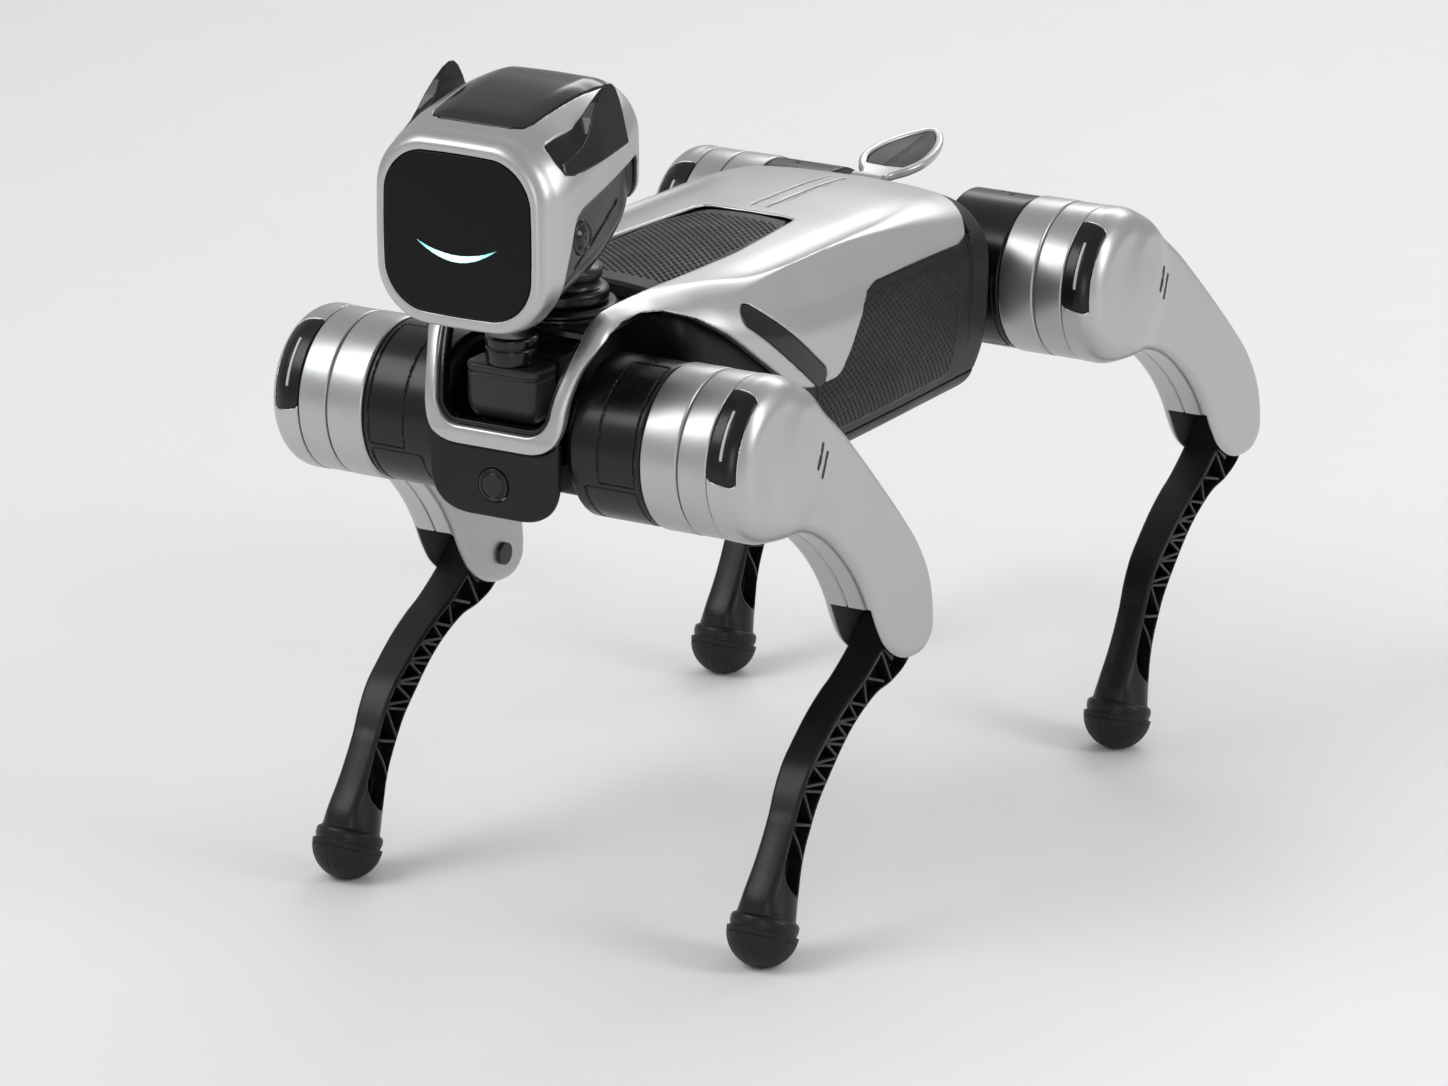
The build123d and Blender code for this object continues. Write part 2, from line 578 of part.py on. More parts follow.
os.makedirs("parts", exist_ok=True)
for node, piece in assembly().items():
    export_step(piece, f"parts/{node}.step")
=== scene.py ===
"""Looks of the quadruped robot dog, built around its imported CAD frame.

Lengths are millimetres until a mesh is made.  Trunk pieces are drawn about the point on the floor midway
between the hips (+Z up, -Y forwards, +X the robot's left), leg pieces in frames at the hip and the knee.
Rounded forms are signed distance fields, negative inside, which surface_net() turns into meshes.
"""
import json
from math import atan2, cos, pi, radians, sin, tau

import bpy
import numpy as np
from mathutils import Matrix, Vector
from numpy import arange, array, clip, hypot, linspace, maximum, minimum, stack


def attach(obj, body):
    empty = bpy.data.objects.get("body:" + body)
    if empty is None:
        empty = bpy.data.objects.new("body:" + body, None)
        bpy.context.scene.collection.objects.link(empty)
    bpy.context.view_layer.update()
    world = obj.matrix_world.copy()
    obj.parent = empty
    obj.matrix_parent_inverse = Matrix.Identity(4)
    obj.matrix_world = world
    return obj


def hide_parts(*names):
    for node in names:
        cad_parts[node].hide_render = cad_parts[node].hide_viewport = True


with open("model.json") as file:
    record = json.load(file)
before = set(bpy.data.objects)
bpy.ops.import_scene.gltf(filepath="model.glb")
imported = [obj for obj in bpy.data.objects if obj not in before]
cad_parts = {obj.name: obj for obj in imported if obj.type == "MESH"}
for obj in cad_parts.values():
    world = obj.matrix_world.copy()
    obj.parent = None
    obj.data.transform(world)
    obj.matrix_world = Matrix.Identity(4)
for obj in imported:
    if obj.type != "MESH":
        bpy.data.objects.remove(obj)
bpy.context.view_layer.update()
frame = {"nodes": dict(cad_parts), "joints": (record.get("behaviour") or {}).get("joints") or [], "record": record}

# ---- Places taken from the frame ----
MM = 0.001
LEGS = ("fl", "fr", "rl", "rr")
JOINTS = {j["name"]: Vector(j["pos_m"]) / MM for j in frame["joints"] if "pos_m" in j}
MID_Y = sum(JOINTS["pitch_" + k].y for k in LEGS) / len(LEGS)
THIGH = (JOINTS["knee_fl"] - JOINTS["pitch_fl"]).yz.length
FEET = {m["name"][-2:]: Vector(m["pos_m"]) / MM
        for m in frame["record"]["mounts"] if "foot_rest" in m["name"]}
FOOT_Z = 19.2
LEG_PLANE_X = abs(FEET["fl"].x)
SHANK = (JOINTS["knee_fl"].yz - Vector((FEET["fl"].y, FOOT_Z))).length
NECK_Y = JOINTS["neck_yaw"].y - MID_Y
HEAD_PIVOT_Y, HEAD_PIVOT_Z = JOINTS["head_pitch"].y - MID_Y, JOINTS["head_pitch"].z
FINE = 1.0      # mesh step multiplier


# ---- Studio ----
CAMERA_PLACE = (1.9795, -3.3544, 1.4182)         # metres, about the point between the hips
CAMERA_AZIMUTH, CAMERA_ELEVATION = 0.534, 0.311  # radians
CAMERA_LENS = 177.7


def back_vector(azimuth, elevation):
    return Vector((sin(azimuth) * cos(elevation), -cos(azimuth) * cos(elevation), sin(elevation)))


def make_camera():
    data = bpy.data.cameras.new("camera")
    data.lens = CAMERA_LENS
    data.clip_end = 50
    camera = bpy.data.objects.new("camera", data)
    camera.location = Vector(CAMERA_PLACE) + Vector((0, MID_Y * MM, 0))
    camera.rotation_euler = back_vector(CAMERA_AZIMUTH, CAMERA_ELEVATION).to_track_quat("Z", "Y").to_euler()
    bpy.context.collection.objects.link(camera)
    bpy.context.scene.camera = camera


def area_light(name, place, size, power):
    data = bpy.data.lights.new(name, "AREA")
    data.shape, data.size, data.size_y = "RECTANGLE", size[0], size[1]
    data.energy = power
    lamp = bpy.data.objects.new(name, data)
    lamp.location = place
    lamp.rotation_euler = (Vector(place) - Vector((0, 0, 0.3))).to_track_quat("Z", "Y").to_euler()
    bpy.context.collection.objects.link(lamp)


def make_studio():
    world = bpy.data.worlds.new("studio")
    world.use_nodes = True
    sky = world.node_tree.nodes["Background"].inputs
    sky["Color"].default_value = (1, 1, 1, 1)
    sky["Strength"].default_value = 0.5
    bpy.context.scene.world = world
    bpy.context.scene.view_settings.view_transform = "Standard"
    bpy.ops.mesh.primitive_plane_add(size=40)
    floor = bpy.context.object
    floor.name = "floor"
    floor.data.materials.append(surface("floor_white", (0.9, 0.9, 0.9), 0, 0.6, tint=0.01))
    area_light("key", (-1.5, -1.8, 2.4), (1.6, 1.6), 34)
    area_light("side", (2.6, 0.4, 1.6), (0.7, 1.8), 24)
    area_light("back", (-0.4, 2.6, 2.0), (2.4, 0.7), 22)
    area_light("front", (1.3, -2.8, 0.8), (0.6, 1.2), 8)


# ---- Materials ----
def surface(name, colour, metallic=0.0, roughness=0.4, spread=0.08, grain=900.0, bump=0.1, bump_mm=0.1,
        coat=0.0, wear=0.0, brushed=None, tint=0.12):
    """Procedural material: cloudy colour, uneven roughness, fine grain and rubbed edges.

    brushed names the axis (0, 1 or 2) that fine turning lines run round.
    """
    material = bpy.data.materials.new(name)
    material.use_nodes = True
    tree = material.node_tree
    nodes, links = tree.nodes, tree.links
    shader = nodes["Principled BSDF"].inputs
    shader["Metallic"].default_value = metallic
    shader["Coat Weight"].default_value = coat
    shader["Coat Roughness"].default_value = 0.12

    def add(kind, **values):
        # node with its inputs set; an underscore stands for the space in an input's name
        node = nodes.new("ShaderNode" + kind)
        for socket, value in values.items():
            node.inputs[socket.replace("_", " ")].default_value = value
        return node

    place = add("TexCoord").outputs["Object"]

    def noise(scale, detail, stretch=(1, 1, 1)):
        mapping, texture = add("Mapping", Scale=stretch), add("TexNoise", Scale=scale, Detail=detail)
        links.new(place, mapping.inputs["Vector"])
        links.new(mapping.outputs["Vector"], texture.inputs["Vector"])
        return texture.outputs["Fac"]

    def ranged(value, source, target):
        ramp = add("MapRange", From_Min=source[0], From_Max=source[1], To_Min=target[0], To_Max=target[1])
        links.new(value, ramp.inputs["Value"])
        return ramp.outputs["Result"]

    def mixed(factor, first, second):
        mix = add("Mix")
        mix.data_type = "RGBA"
        links.new(factor, mix.inputs["Factor"])
        for socket, value in ((mix.inputs[6], first), (mix.inputs[7], second)):
            if isinstance(value, tuple):
                socket.default_value = (*value, 1)
            else:
                links.new(value, socket)
        return mix.outputs[2]

    darker, lighter = (tuple(min(1, c * (1 + by)) for c in colour) for by in (-tint, tint))
    shade = mixed(noise(14, 5), darker, lighter)
    if wear:
        edge = add("NewGeometry").outputs["Pointiness"]
        rubbed = tuple(min(1, c * 1.6 + 0.05) for c in colour)
        shade = mixed(ranged(edge, (0.53, 0.62), (0, wear)), shade, rubbed)
    links.new(shade, shader["Base Color"])
    uneven = ranged(noise(38, 6), (0.3, 0.7), (roughness - spread / 2, roughness + spread / 2))
    links.new(uneven, shader["Roughness"])
    stretch = [1.0, 1.0, 1.0]
    if brushed is not None:
        stretch = [0.03, 0.03, 0.03]
        stretch[brushed] = 1.0
    relief = add("Bump", Strength=bump, Distance=bump_mm * MM)
    links.new(noise(grain, 3, stretch), relief.inputs["Height"])
    links.new(relief.outputs["Normal"], shader["Normal"])
    return material


DULLED = {"black_shell": 0.3, "black_gloss": 0.4, "black_metal": 0.35, "grille": 0.3, "smoked_lens": 0.35,
    "screen_glass": 0.12, "light_strip": 0.35, "shank_black": 0.3, "rubber_foot": 0.3, "mark_black": 0.2}


def make_materials():
    """Every surface by name, its values in surface()'s order, with the specular level of the dark ones."""
    looks = {
        "silver_paint": ((0.5, 0.51, 0.52), 0.9, 0.36, 0.05, 2600, 0.08, 0.05, 0.1, 0.2, None, 0.02),
        "silver_machined": ((0.48, 0.49, 0.5), 0.95, 0.36, 0.07, 2400, 0.15, 0.03, 0, 0, 0, 0.03),
        "black_shell": ((0.006, 0.006, 0.0065), 0, 0.42, 0.1, 2200, 0.15, 0.05, 0, 0.15),
        "black_gloss": ((0.004, 0.004, 0.0045), 0, 0.2, 0.06, 900, 0.03, 0.03, 0.1),
        "black_metal": ((0.004, 0.004, 0.0045), 0, 0.3, 0.08, 1800, 0.1, 0.03, 0.05, 0.15),
        "grille": ((0.03, 0.03, 0.031), 0, 0.5, 0.1, 1800, 0.12, 0.04, 0, 0.6),
        "smoked_lens": ((0.022, 0.022, 0.023), 0, 0.3, 0.06, 600, 0.03, 0.03),
        "screen_glass": ((0.008, 0.008, 0.0083), 0, 0.36, 0.05, 500, 0.02, 0.02, 0, 0, None, 0.02),
        "light_strip": ((0.005, 0.005, 0.0055), 0, 0.26, 0.06, 900, 0.03, 0.03),
        "light_guide": ((0.5, 0.5, 0.5), 0, 0.3, 0.05, 900, 0.05, 0.03),
        # painted shade: shaft_steel is coloured near black to stand for the shade in the dark recess round the
        # knee pin, not the steel's own colour
        "shaft_steel": ((0.05, 0.05, 0.053), 0.8, 0.36, 0.1, 1500, 0.2, 0.03, 0, 0, 0),
        "shank_black": ((0.007, 0.007, 0.0075), 0, 0.38, 0.1, 2000, 0.15, 0.05, 0, 1.0),
        "rubber_foot": ((0.007, 0.007, 0.0075), 0, 0.5, 0.12, 1400, 0.3, 0.06, 0, 0.2),
        "cast_frame": ((0.02, 0.02, 0.021), 0.3, 0.5, 0.15, 700, 0.4, 0.1),
        "motor_body": ((0.04, 0.04, 0.042), 0.5, 0.4, 0.1, 900, 0.2, 0.05, 0, 0, 0),
        "battery_wrap": ((0.05, 0.06, 0.08), 0, 0.5, 0.1, 900, 0.2, 0.05),
        "board": ((0.02, 0.12, 0.06), 0, 0.4, 0.1, 600, 0.2, 0.05),
        "mark_black": ((0.006, 0.006, 0.0065), 0, 0.4, 0.1, 900, 0.1, 0.03),
    }
    made = {name: surface(name, *look) for name, look in looks.items()}
    for name, level in DULLED.items():
        made[name].node_tree.nodes["Principled BSDF"].inputs["Specular IOR Level"].default_value = level
    made["face_glow"] = glowing()
    return made


def glowing():
    """White-green light that fades to deep teal towards both ends of the smile."""
    material = surface("face_glow", (0.3, 0.6, 0.58), 0, 0.3, 0.05, 900, 0.02, 0.02)
    tree = material.node_tree
    nodes, links = tree.nodes, tree.links
    place = nodes.new("ShaderNodeSeparateXYZ")
    links.new(nodes.new("ShaderNodeTexCoord").outputs["Object"], place.inputs["Vector"])
    away = nodes.new("ShaderNodeMath")
    away.operation = "ABSOLUTE"
    links.new(place.outputs["X"], away.inputs[0])
    fade = nodes.new("ShaderNodeValToRGB")
    fade.color_ramp.elements[0].color = (0.62, 0.97, 0.93, 1)
    fade.color_ramp.elements[1].color = (0.0, 0.06, 0.07, 1)
    fade.color_ramp.elements[0].position = 0.45
    middle = fade.color_ramp.elements.new(0.75)
    middle.color = (0.12, 0.62, 0.58, 1)
    span = nodes.new("ShaderNodeMapRange")
    span.inputs["From Max"].default_value = 27 * MM
    links.new(away.outputs[0], span.inputs["Value"])
    links.new(span.outputs["Result"], fade.inputs["Fac"])
    shader = nodes["Principled BSDF"].inputs
    links.new(fade.outputs["Color"], shader["Emission Color"])
    shader["Emission Strength"].default_value = 1.15
    return material


# ---- Distance fields ----
def soft_min(a, b, k):
    h = maximum(k - np.abs(a - b), 0) / k
    return minimum(a, b) - h * h * k / 4


def soft_max(a, b, k):
    return -soft_min(-a, -b, k)


def span(v, low, high):
    """Distance outside a layer between two parallel planes."""
    return np.abs(v - (low + high) / 2) - (high - low) / 2


def joined(a, b, rounding):
    """Intersection of two forms with a round edge where they meet."""
    a, b = a + rounding, b + rounding
    return minimum(maximum(a, b), 0) + hypot(maximum(a, 0), maximum(b, 0)) - rounding


def ball_box(u, v, half_u, half_v, rounding):
    """Rounded rectangle about the origin."""
    return joined(np.abs(u) - half_u, np.abs(v) - half_v, rounding)


def capsule(u, v, start, end, radius):
    """Round-ended line of a given radius in a plane."""
    du, dv = end[0] - start[0], end[1] - start[1]
    t = clip(((u - start[0]) * du + (v - start[1]) * dv) / (du * du + dv * dv), 0, 1)
    return hypot(u - start[0] - t * du, v - start[1] - t * dv) - radius


def ramp(v, start, end):
    """Smooth step from 0 at start to 1 at end."""
    t = clip((v - start) / (end - start), 0, 1)
    return t * t * (3 - 2 * t)


def course(v, *stations):
    """Smooth curve through (place, value) stations, flat beyond the ends."""
    at, value = array(stations, float).T
    slope = np.gradient(value, at)
    i = clip(np.searchsorted(at, v) - 1, 0, len(at) - 2)
    width = at[i + 1] - at[i]
    t = clip((v - at[i]) / width, 0, 1)
    return ((1 + 2 * t) * (1 - t) ** 2 * value[i] + t * (1 - t) ** 2 * width * slope[i]
            + t * t * (3 - 2 * t) * value[i + 1] + t * t * (t - 1) * width * slope[i + 1])


def smooth_loop(points, steps=8):
    """Closed curve through points, with chord-length spacing so that it never loops."""
    p = array(points, float)
    p0, p1, p2, p3 = (np.roll(p, k, axis=0)[:, None] for k in (1, 0, -1, -2))

    def gap(start, end):
        return np.sqrt(np.linalg.norm(end - start, axis=2, keepdims=True))

    def blend(start, end, first, second):
        return (end - t) / (end - start) * first + (t - start) / (end - start) * second

    t0 = np.zeros((len(p), 1, 1))
    t1 = t0 + gap(p0, p1)
    t2 = t1 + gap(p1, p2)
    t3 = t2 + gap(p2, p3)
    t = t1 + (t2 - t1) * (arange(steps) / steps)[None, :, None]
    a1, a2, a3 = blend(t0, t1, p0, p1), blend(t1, t2, p1, p2), blend(t2, t3, p2, p3)
    return blend(t1, t2, blend(t0, t2, a1, a2), blend(t1, t3, a2, a3)).reshape(-1, 2)


class Outline:
    """Signed distance to a closed plane outline, kept on a grid and read back between its points."""
    CELL, MARGIN = 0.5, 16.0

    def __init__(self, points):
        points = array(points, float)
        self.low = points.min(0) - self.MARGIN
        size = np.ceil((points.max(0) + self.MARGIN - self.low) / self.CELL).astype(int) + 1
        u, v = np.meshgrid(*(self.low[i] + self.CELL * arange(size[i]) for i in (0, 1)), indexing="ij")
        nearest = np.full(u.shape, np.inf)
        inside = np.zeros(u.shape, bool)
        for (au, av), (bu, bv) in zip(points, np.roll(points, -1, axis=0)):
            nearest = minimum(nearest, capsule(u, v, (au, av), (bu, bv), 0.0))
            if av != bv:
                inside ^= ((av > v) != (bv > v)) & (u < (bu - au) * (v - av) / (bv - av) + au)
        self.grid = np.where(inside, -nearest, nearest)

    def __call__(self, u, v):
        top = array(self.grid.shape) - 1.001
        a = clip((u - self.low[0]) / self.CELL, 0, top[0])
        b = clip((v - self.low[1]) / self.CELL, 0, top[1])
        i, j = a.astype(int), b.astype(int)
        a, b = a - i, b - j
        g = self.grid
        return ((g[i, j] * (1 - a) + g[i + 1, j] * a) * (1 - b)
                + (g[i, j + 1] * (1 - a) + g[i + 1, j + 1] * a) * b)


def both_sides(points):
    """Half outline, from the middle plane outwards, completed on the other side."""
    return list(points) + [(-x, v) for x, v in reversed(points) if x > 0]


CORNERS = [(i, j, k) for i in (0, 1) for j in (0, 1) for k in (0, 1)]
EDGES = [(a, b) for a in CORNERS for b in CORNERS if sum(b) - sum(a) == 1 and all(p <= q for p,
    q in zip(a, b))]
BLOCK = 4


def gradient(field, p, h=0.05):
    """Field's slope by four samples at the corners of a small tetrahedron."""
    total = np.zeros_like(p)
    for k in ((1, -1, -1), (-1, -1, 1), (-1, 1, -1), (1, 1, 1)):
        k = array(k, float)
        total += k * field(*(p + h * k).T)[:, None]
    return total / (4 * h)


def surface_net(field, low, high, step):
    """Quads on the zero level of a field inside a box: places, faces and outward directions."""
    low = array(low, float)
    count = (np.ceil((array(high) - low) / (step * BLOCK)).astype(int)) * BLOCK
    blocks = np.meshgrid(*(low[i] + step * (BLOCK * arange(count[i] // BLOCK) + (BLOCK - 1) / 2)
        for i in range(3)), indexing="ij")
    value = field(*(b.ravel() for b in blocks)).reshape(blocks[0].shape)
    for axis in range(3):
        value = np.repeat(value, BLOCK, axis)
    near = np.nonzero(np.abs(value) < step * BLOCK * 1.6)
    value[near] = field(*(low[i] + step * near[i] for i in range(3)))
    inside = value < 0
    total = np.zeros([c - 1 for c in count], np.int8)
    for i, j, k in CORNERS:
        total += inside[i:count[0] - 1 + i, j:count[1] - 1 + j, k:count[2] - 1 + k]
    active = (total > 0) & (total < 8)
    cells = np.argwhere(active)
    number = np.full(active.shape, -1)
    number[active] = arange(len(cells))
    place, hits = np.zeros((len(cells), 3)), np.zeros((len(cells), 1))
    for a, b in EDGES:
        start = value[tuple((cells + a).T)]
        end = value[tuple((cells + b).T)]
        crossed = ((start < 0) != (end < 0))[:, None]
        t = (start / np.where(start == end, 1, start - end))[:, None]
        place += np.where(crossed, array(a) + t * (array(b) - array(a)), 0)
        hits += crossed
    p = low + step * (cells + place / maximum(hits, 1))
    for _ in range(2):
        slope = gradient(field, p)
        size = maximum((slope ** 2).sum(1), 0.05)
        move = clip(field(*p.T) / size, -0.6 * step, 0.6 * step)
        p = p - slope * move[:, None]
    faces = []
    for axis in range(3):
        u, v = (axis + 1) % 3, (axis + 2) % 3
        first = [slice(0, c - 1) if i == axis else slice(1, c - 1) for i, c in enumerate(count)]
        second = list(first)
        second[axis] = slice(1, count[axis])
        one, two = inside[tuple(first)], inside[tuple(second)]
        base = np.argwhere(one != two)
        leaving = one[tuple(base.T)]
        base = base + [0 if i == axis else 1 for i in range(3)]
        quad = []
        for du, dv in ((-1, -1), (0, -1), (0, 0), (-1, 0)):
            at = base.copy()
            at[:, u] += du
            at[:, v] += dv
            quad.append(number[tuple(at.T)])
        quad = stack(quad, 1)
        faces.append(np.where(leaving[:, None], quad, quad[:, ::-1]))
    slope = gradient(field, p, 0.15)
    return p, np.concatenate(faces), slope / maximum(np.linalg.norm(slope, axis=1, keepdims=True), 1e-9)


# ---- Meshes ----
def leave(v):
    """Trunk millimetres to metres in the row's frame."""
    return (np.asarray(v, float) + (0, MID_Y, 0)) * MM


def new_piece(name, points, faces, material, body, replaces=(), slot=None, normals=None):
    """Mesh object from metres, riding on a body and standing for CAD nodes."""
    mesh = bpy.data.meshes.new(name)
    faces = np.asarray(faces)
    mesh.vertices.add(len(points))
    mesh.vertices.foreach_set("co", np.asarray(points, np.float32).ravel())
    sides = faces.shape[1]
    mesh.loops.add(faces.size)
    mesh.loops.foreach_set("vertex_index", faces.ravel().astype(np.int32))
    mesh.polygons.add(len(faces))
    mesh.polygons.foreach_set("loop_start", arange(0, faces.size, sides, dtype=np.int32))
    mesh.update(calc_edges=True)
    mesh.validate()
    mesh.polygons.foreach_set("use_smooth", np.ones(len(mesh.polygons), bool))
    if normals is None:
        mesh.set_sharp_from_angle(angle=radians(32))
    else:
        mesh.normals_split_custom_set_from_vertices(np.asarray(normals, np.float32))
    mesh.materials.append(MATERIAL[material])
    made = bpy.data.objects.new(name, mesh)
    bpy.context.collection.objects.link(made)
    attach(made, body)
    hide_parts(*replaces)
    (slot or {"light_guide": "light_strip", "mark_black": "black_shell"}.get(material,
        material))
    return made


def surface_piece(name, field, low, high, step, material, body, replaces=(), slot=None):
    """Piece of the trunk from a distance field."""
    p, faces, normals = surface_net(field, low, high, step * FINE)
    return new_piece(name, leave(p), faces, material, body, replaces, slot, normals)


def eased(profile, radius=0.8, steps=3):
    """Closed (radius, along) profile with every corner rounded."""
    p = array(profile, float)
    eased_points = []
    for before, at, after in zip(np.roll(p, 1, axis=0), p, np.roll(p, -1, axis=0)):
        cut = min(radius, np.linalg.norm(before - at) / 2.2, np.linalg.norm(after - at) / 2.2)
        start = at + (before - at) / np.linalg.norm(before - at) * cut
        end = at + (after - at) / np.linalg.norm(after - at) * cut
        for k in range(steps + 1):
            t = k / steps
            eased_points.append((1 - t) ** 2 * start + 2 * t * (1 - t) * at + t * t * end)
    return array(eased_points)


def turned(profile, segments=128):
    """Ring of quads from a closed profile of (radius, along), turned about the first axis."""
    profile = array(profile)
    angle = arange(segments) * tau / segments
    r, h = profile[:, 0][None], profile[:, 1][None]
    points = stack([h + 0 * angle[:, None], r * np.cos(angle)[:, None], r * np.sin(angle)[:, None]], 2)
    n = len(profile)
    ring, step = np.meshgrid(arange(segments), arange(n), indexing="ij")
    after, up = (ring + 1) % segments, (step + 1) % n
    faces = stack([ring * n + step, ring * n + up, after * n + up, after * n + step], 2).reshape(-1, 4)
    return points.reshape(-1, 3), faces


def area_turned(profile):
    """Twice the signed area of a profile, to tell which way it runs."""
    p = array(profile)
    q = np.roll(p, -1, axis=0)
    return (p[:, 0] * q[:, 1] - q[:, 0] * p[:, 1]).sum()


def lathe(profile, radius=0.8, segments=128):
    """turned() with rounded corners and faces that look outwards."""
    points, faces = turned(eased(profile, radius), segments)
    if area_turned(profile) > 0:
        faces = faces[:, ::-1]
    return points, faces


# ---- Leg frames ----
# In a leg's frame x is the distance from the middle plane, v runs rearwards of the limb's line and w up it.
def line_turn(start, end):
    """Turn of a limb from hanging straight down, rearwards positive."""
    return atan2(end[0] - start[0], start[1] - end[1])


LEAN = {k: line_turn(JOINTS["pitch_" + k].yz, JOINTS["knee_" + k].yz) for k in LEGS}
TURN = {k: line_turn(JOINTS["knee_" + k].yz, (FEET[k].y, FOOT_Z)) for k in LEGS}


def place_limb(points, normals, origin, turn, side):
    """Leg-frame points and directions to the row frame in metres; side is -1 for the right legs."""
    c, s = cos(turn), sin(turn)
    spin = array([[side, 0, 0], [0, c, -s], [0, s, c]])
    moved = (points @ spin.T + (0, origin.y, origin.z)) * MM
    return moved, None if normals is None else normals @ spin.T


def limb_piece(name, shape, k, joint, turn, material, body, replaces):
    """One leg's copy of a shape: points, faces and normals (or None)."""
    points, faces, normals = shape
    side = -1 if k[1] == "r" else 1
    points, normals = place_limb(points, normals, JOINTS[joint + k], turn, side)
    faces = faces if side > 0 else faces[:, ::-1]
    return new_piece(f"{name}_{k}", points, faces, material, f"{body}_{k}", [f"{r}_{k}" for r in replaces],
        normals=normals)


# ---- Barrels and drums ----
BARREL_RADIUS, DRUM_RADIUS = 45.0, 46.0
BARREL_IN, BARREL_OUT = 38.0, 88.1
DRUM_SEAM, DRUM_OUT = 112.0, 130.0
FACE_X, PARTING_X, INNER_X = 152.6, 135.0, 118.2


def round_angle(v, w):
    """Angle about a drum's axis: 0 rearwards, a right angle straight up, a half turn forwards."""
    return np.arctan2(w, v) % tau


def sector(v, w, x, radius, angles, xs, rounding):
    """Distance to a rounded patch unrolled from a drum."""
    middle = radians(sum(angles) / 2)
    along = radius * ((round_angle(v, w) - middle + pi) % tau - pi)
    half = radius * radians(angles[1] - angles[0]) / 2
    return ball_box(along, x - sum(xs) / 2, half, (xs[1] - xs[0]) / 2, rounding)


def barrel_field(x, v, w):
    """Black hip barrel with a stepped inner end, two flush hatches and small screw holes."""
    r = hypot(v, w)
    main = joined(r - BARREL_RADIUS, span(x, 44, BARREL_OUT), 1.6)
    field = soft_min(main, joined(r - 40, span(x, BARREL_IN, 60), 4), 2)
    for angles, xs in (((98, 198), (62, 84.5)), ((202, 246), (52, 84.5)), ((300, 372), (56, 84.5))):
        patch = sector(v, w, x, BARREL_RADIUS, angles, xs, 2.0)
        groove = maximum(np.abs(patch) - 0.45, BARREL_RADIUS - 0.7 - r)
        field = maximum(field, -groove)
    for angle, at in ((92, 72), (270, 64), (262, 80), (20, 70)):
        a = radians(angle)
        off = hypot(hypot(v - BARREL_RADIUS * cos(a), w - BARREL_RADIUS * sin(a)), x - at)
        field = maximum(field, 1.5 - off)
    stub = hypot(x - 60, w)
    shaft = maximum(stub - 17.5, span(v, 20, 48.5))
    return soft_min(field, shaft, 3)


def drum_shape():
    """Two silver rings with a bright seam between them."""
    r = DRUM_RADIUS - 0.2
    profile = [(36, 88.7), (r - 0.8, 88.7), (r, 89.6), (r, DRUM_SEAM - 1.6), (r - 1.0, DRUM_SEAM - 0.7),
        (r - 2.2, DRUM_SEAM - 0.6), (r - 2.2, DRUM_SEAM + 0.1), (r - 0.6, DRUM_SEAM + 0.2),
        (r - 0.2, DRUM_SEAM + 0.9), (r - 0.2, DRUM_OUT - 0.9), (r - 0.8, DRUM_OUT - 0.2),
        (36, DRUM_OUT - 0.2)]
    return (*lathe(profile, 0.45, 160), None)


# ---- Thigh ----
BLADE = Outline(smooth_loop([
    (40, 2), (44.5, -22), (46.6, -46), (46.6, -76), (45.6, -114), (44, -146), (41.2, -172), (34, -195),
    (23.6, -210.6), (11, -221),
    (-2, -220), (-12, -211), (-20, -196), (-22.5, -177), (-19, -161), (-12.5, -143), (-8, -121), (-7, -96),
    (-9, -75), (-14.5, -56), (-21, -43), (-27, -32), (-29, -20), (-20, -6), (0, 4), (24, 10)]))
SLOT = Outline([(-60, -149), (-10, -149), (3, -164), (4, -240), (-60, -240)])
KNEE_ROOM = 23.0
SHELL_RIM = 60    # inner edge of the outer shell's solid form
WINDOW_ANGLES, WINDOW_X, WINDOW_DEPTH, WINDOW_SLANT = (63, 134), (130.2, 146.5), 2.6, 0.25


def thigh_form(x, v, w, inner_rim):
    """Drum cap, domed face and blade as one solid form, before it is parted."""
    r = hypot(v, w)
    cap = joined(r - DRUM_RADIUS, span(x, 60, FACE_X), 15)
    dome = np.sqrt((x - 70) ** 2 + (v - 4) ** 2 + (w + 12) ** 2) - 84.9
    edge = joined(BLADE(v, w), span(x, inner_rim, FACE_X - 0.6), 6.5)
    field = soft_min(cap, edge, 10)
    return soft_min(field, soft_max(dome, r - 38, 8), 5)


def slot_field(x, v, w):
    """Room for the shank between the two cheeks."""
    plan = minimum(SLOT(v, w), hypot(v, w + THIGH) - KNEE_ROOM)
    return joined(plan, span(x, 123.5, 148.6), 1.5)


def window(x, v, w):
    """Patch of the black light window on the cap's shoulder, its ends slanted."""
    tilted = v + WINDOW_SLANT * (x - WINDOW_X[0])
    return sector(tilted, w, x, DRUM_RADIUS, WINDOW_ANGLES, WINDOW_X, 3.4)


def thigh_shell_field(x, v, w):
    r = hypot(v, w)
    field = thigh_form(x, v, w, SHELL_RIM)
    kept = minimum(PARTING_X + 0.2 - x, maximum(DRUM_OUT + 0.1 - x, r - DRUM_RADIUS - 0.1))
    field = joined(field, kept, 0.5)
    pit = maximum(window(x, v, w), -thigh_form(x, v, w, SHELL_RIM) - WINDOW_DEPTH)
    field = soft_max(field, -pit, 0.7)
    return soft_max(field, -slot_field(x, v, w), 1.2)


def thigh_cover_field(x, v, w):
    field = thigh_form(x, v, w, INNER_X)
    field = joined(field, span(x, INNER_X, PARTING_X - 0.2), 0.8)
    field = soft_max(field, -(hypot(v, w) - DRUM_RADIUS - 1.2), 1)
    return soft_max(field, -slot_field(x, v, w), 1.2)


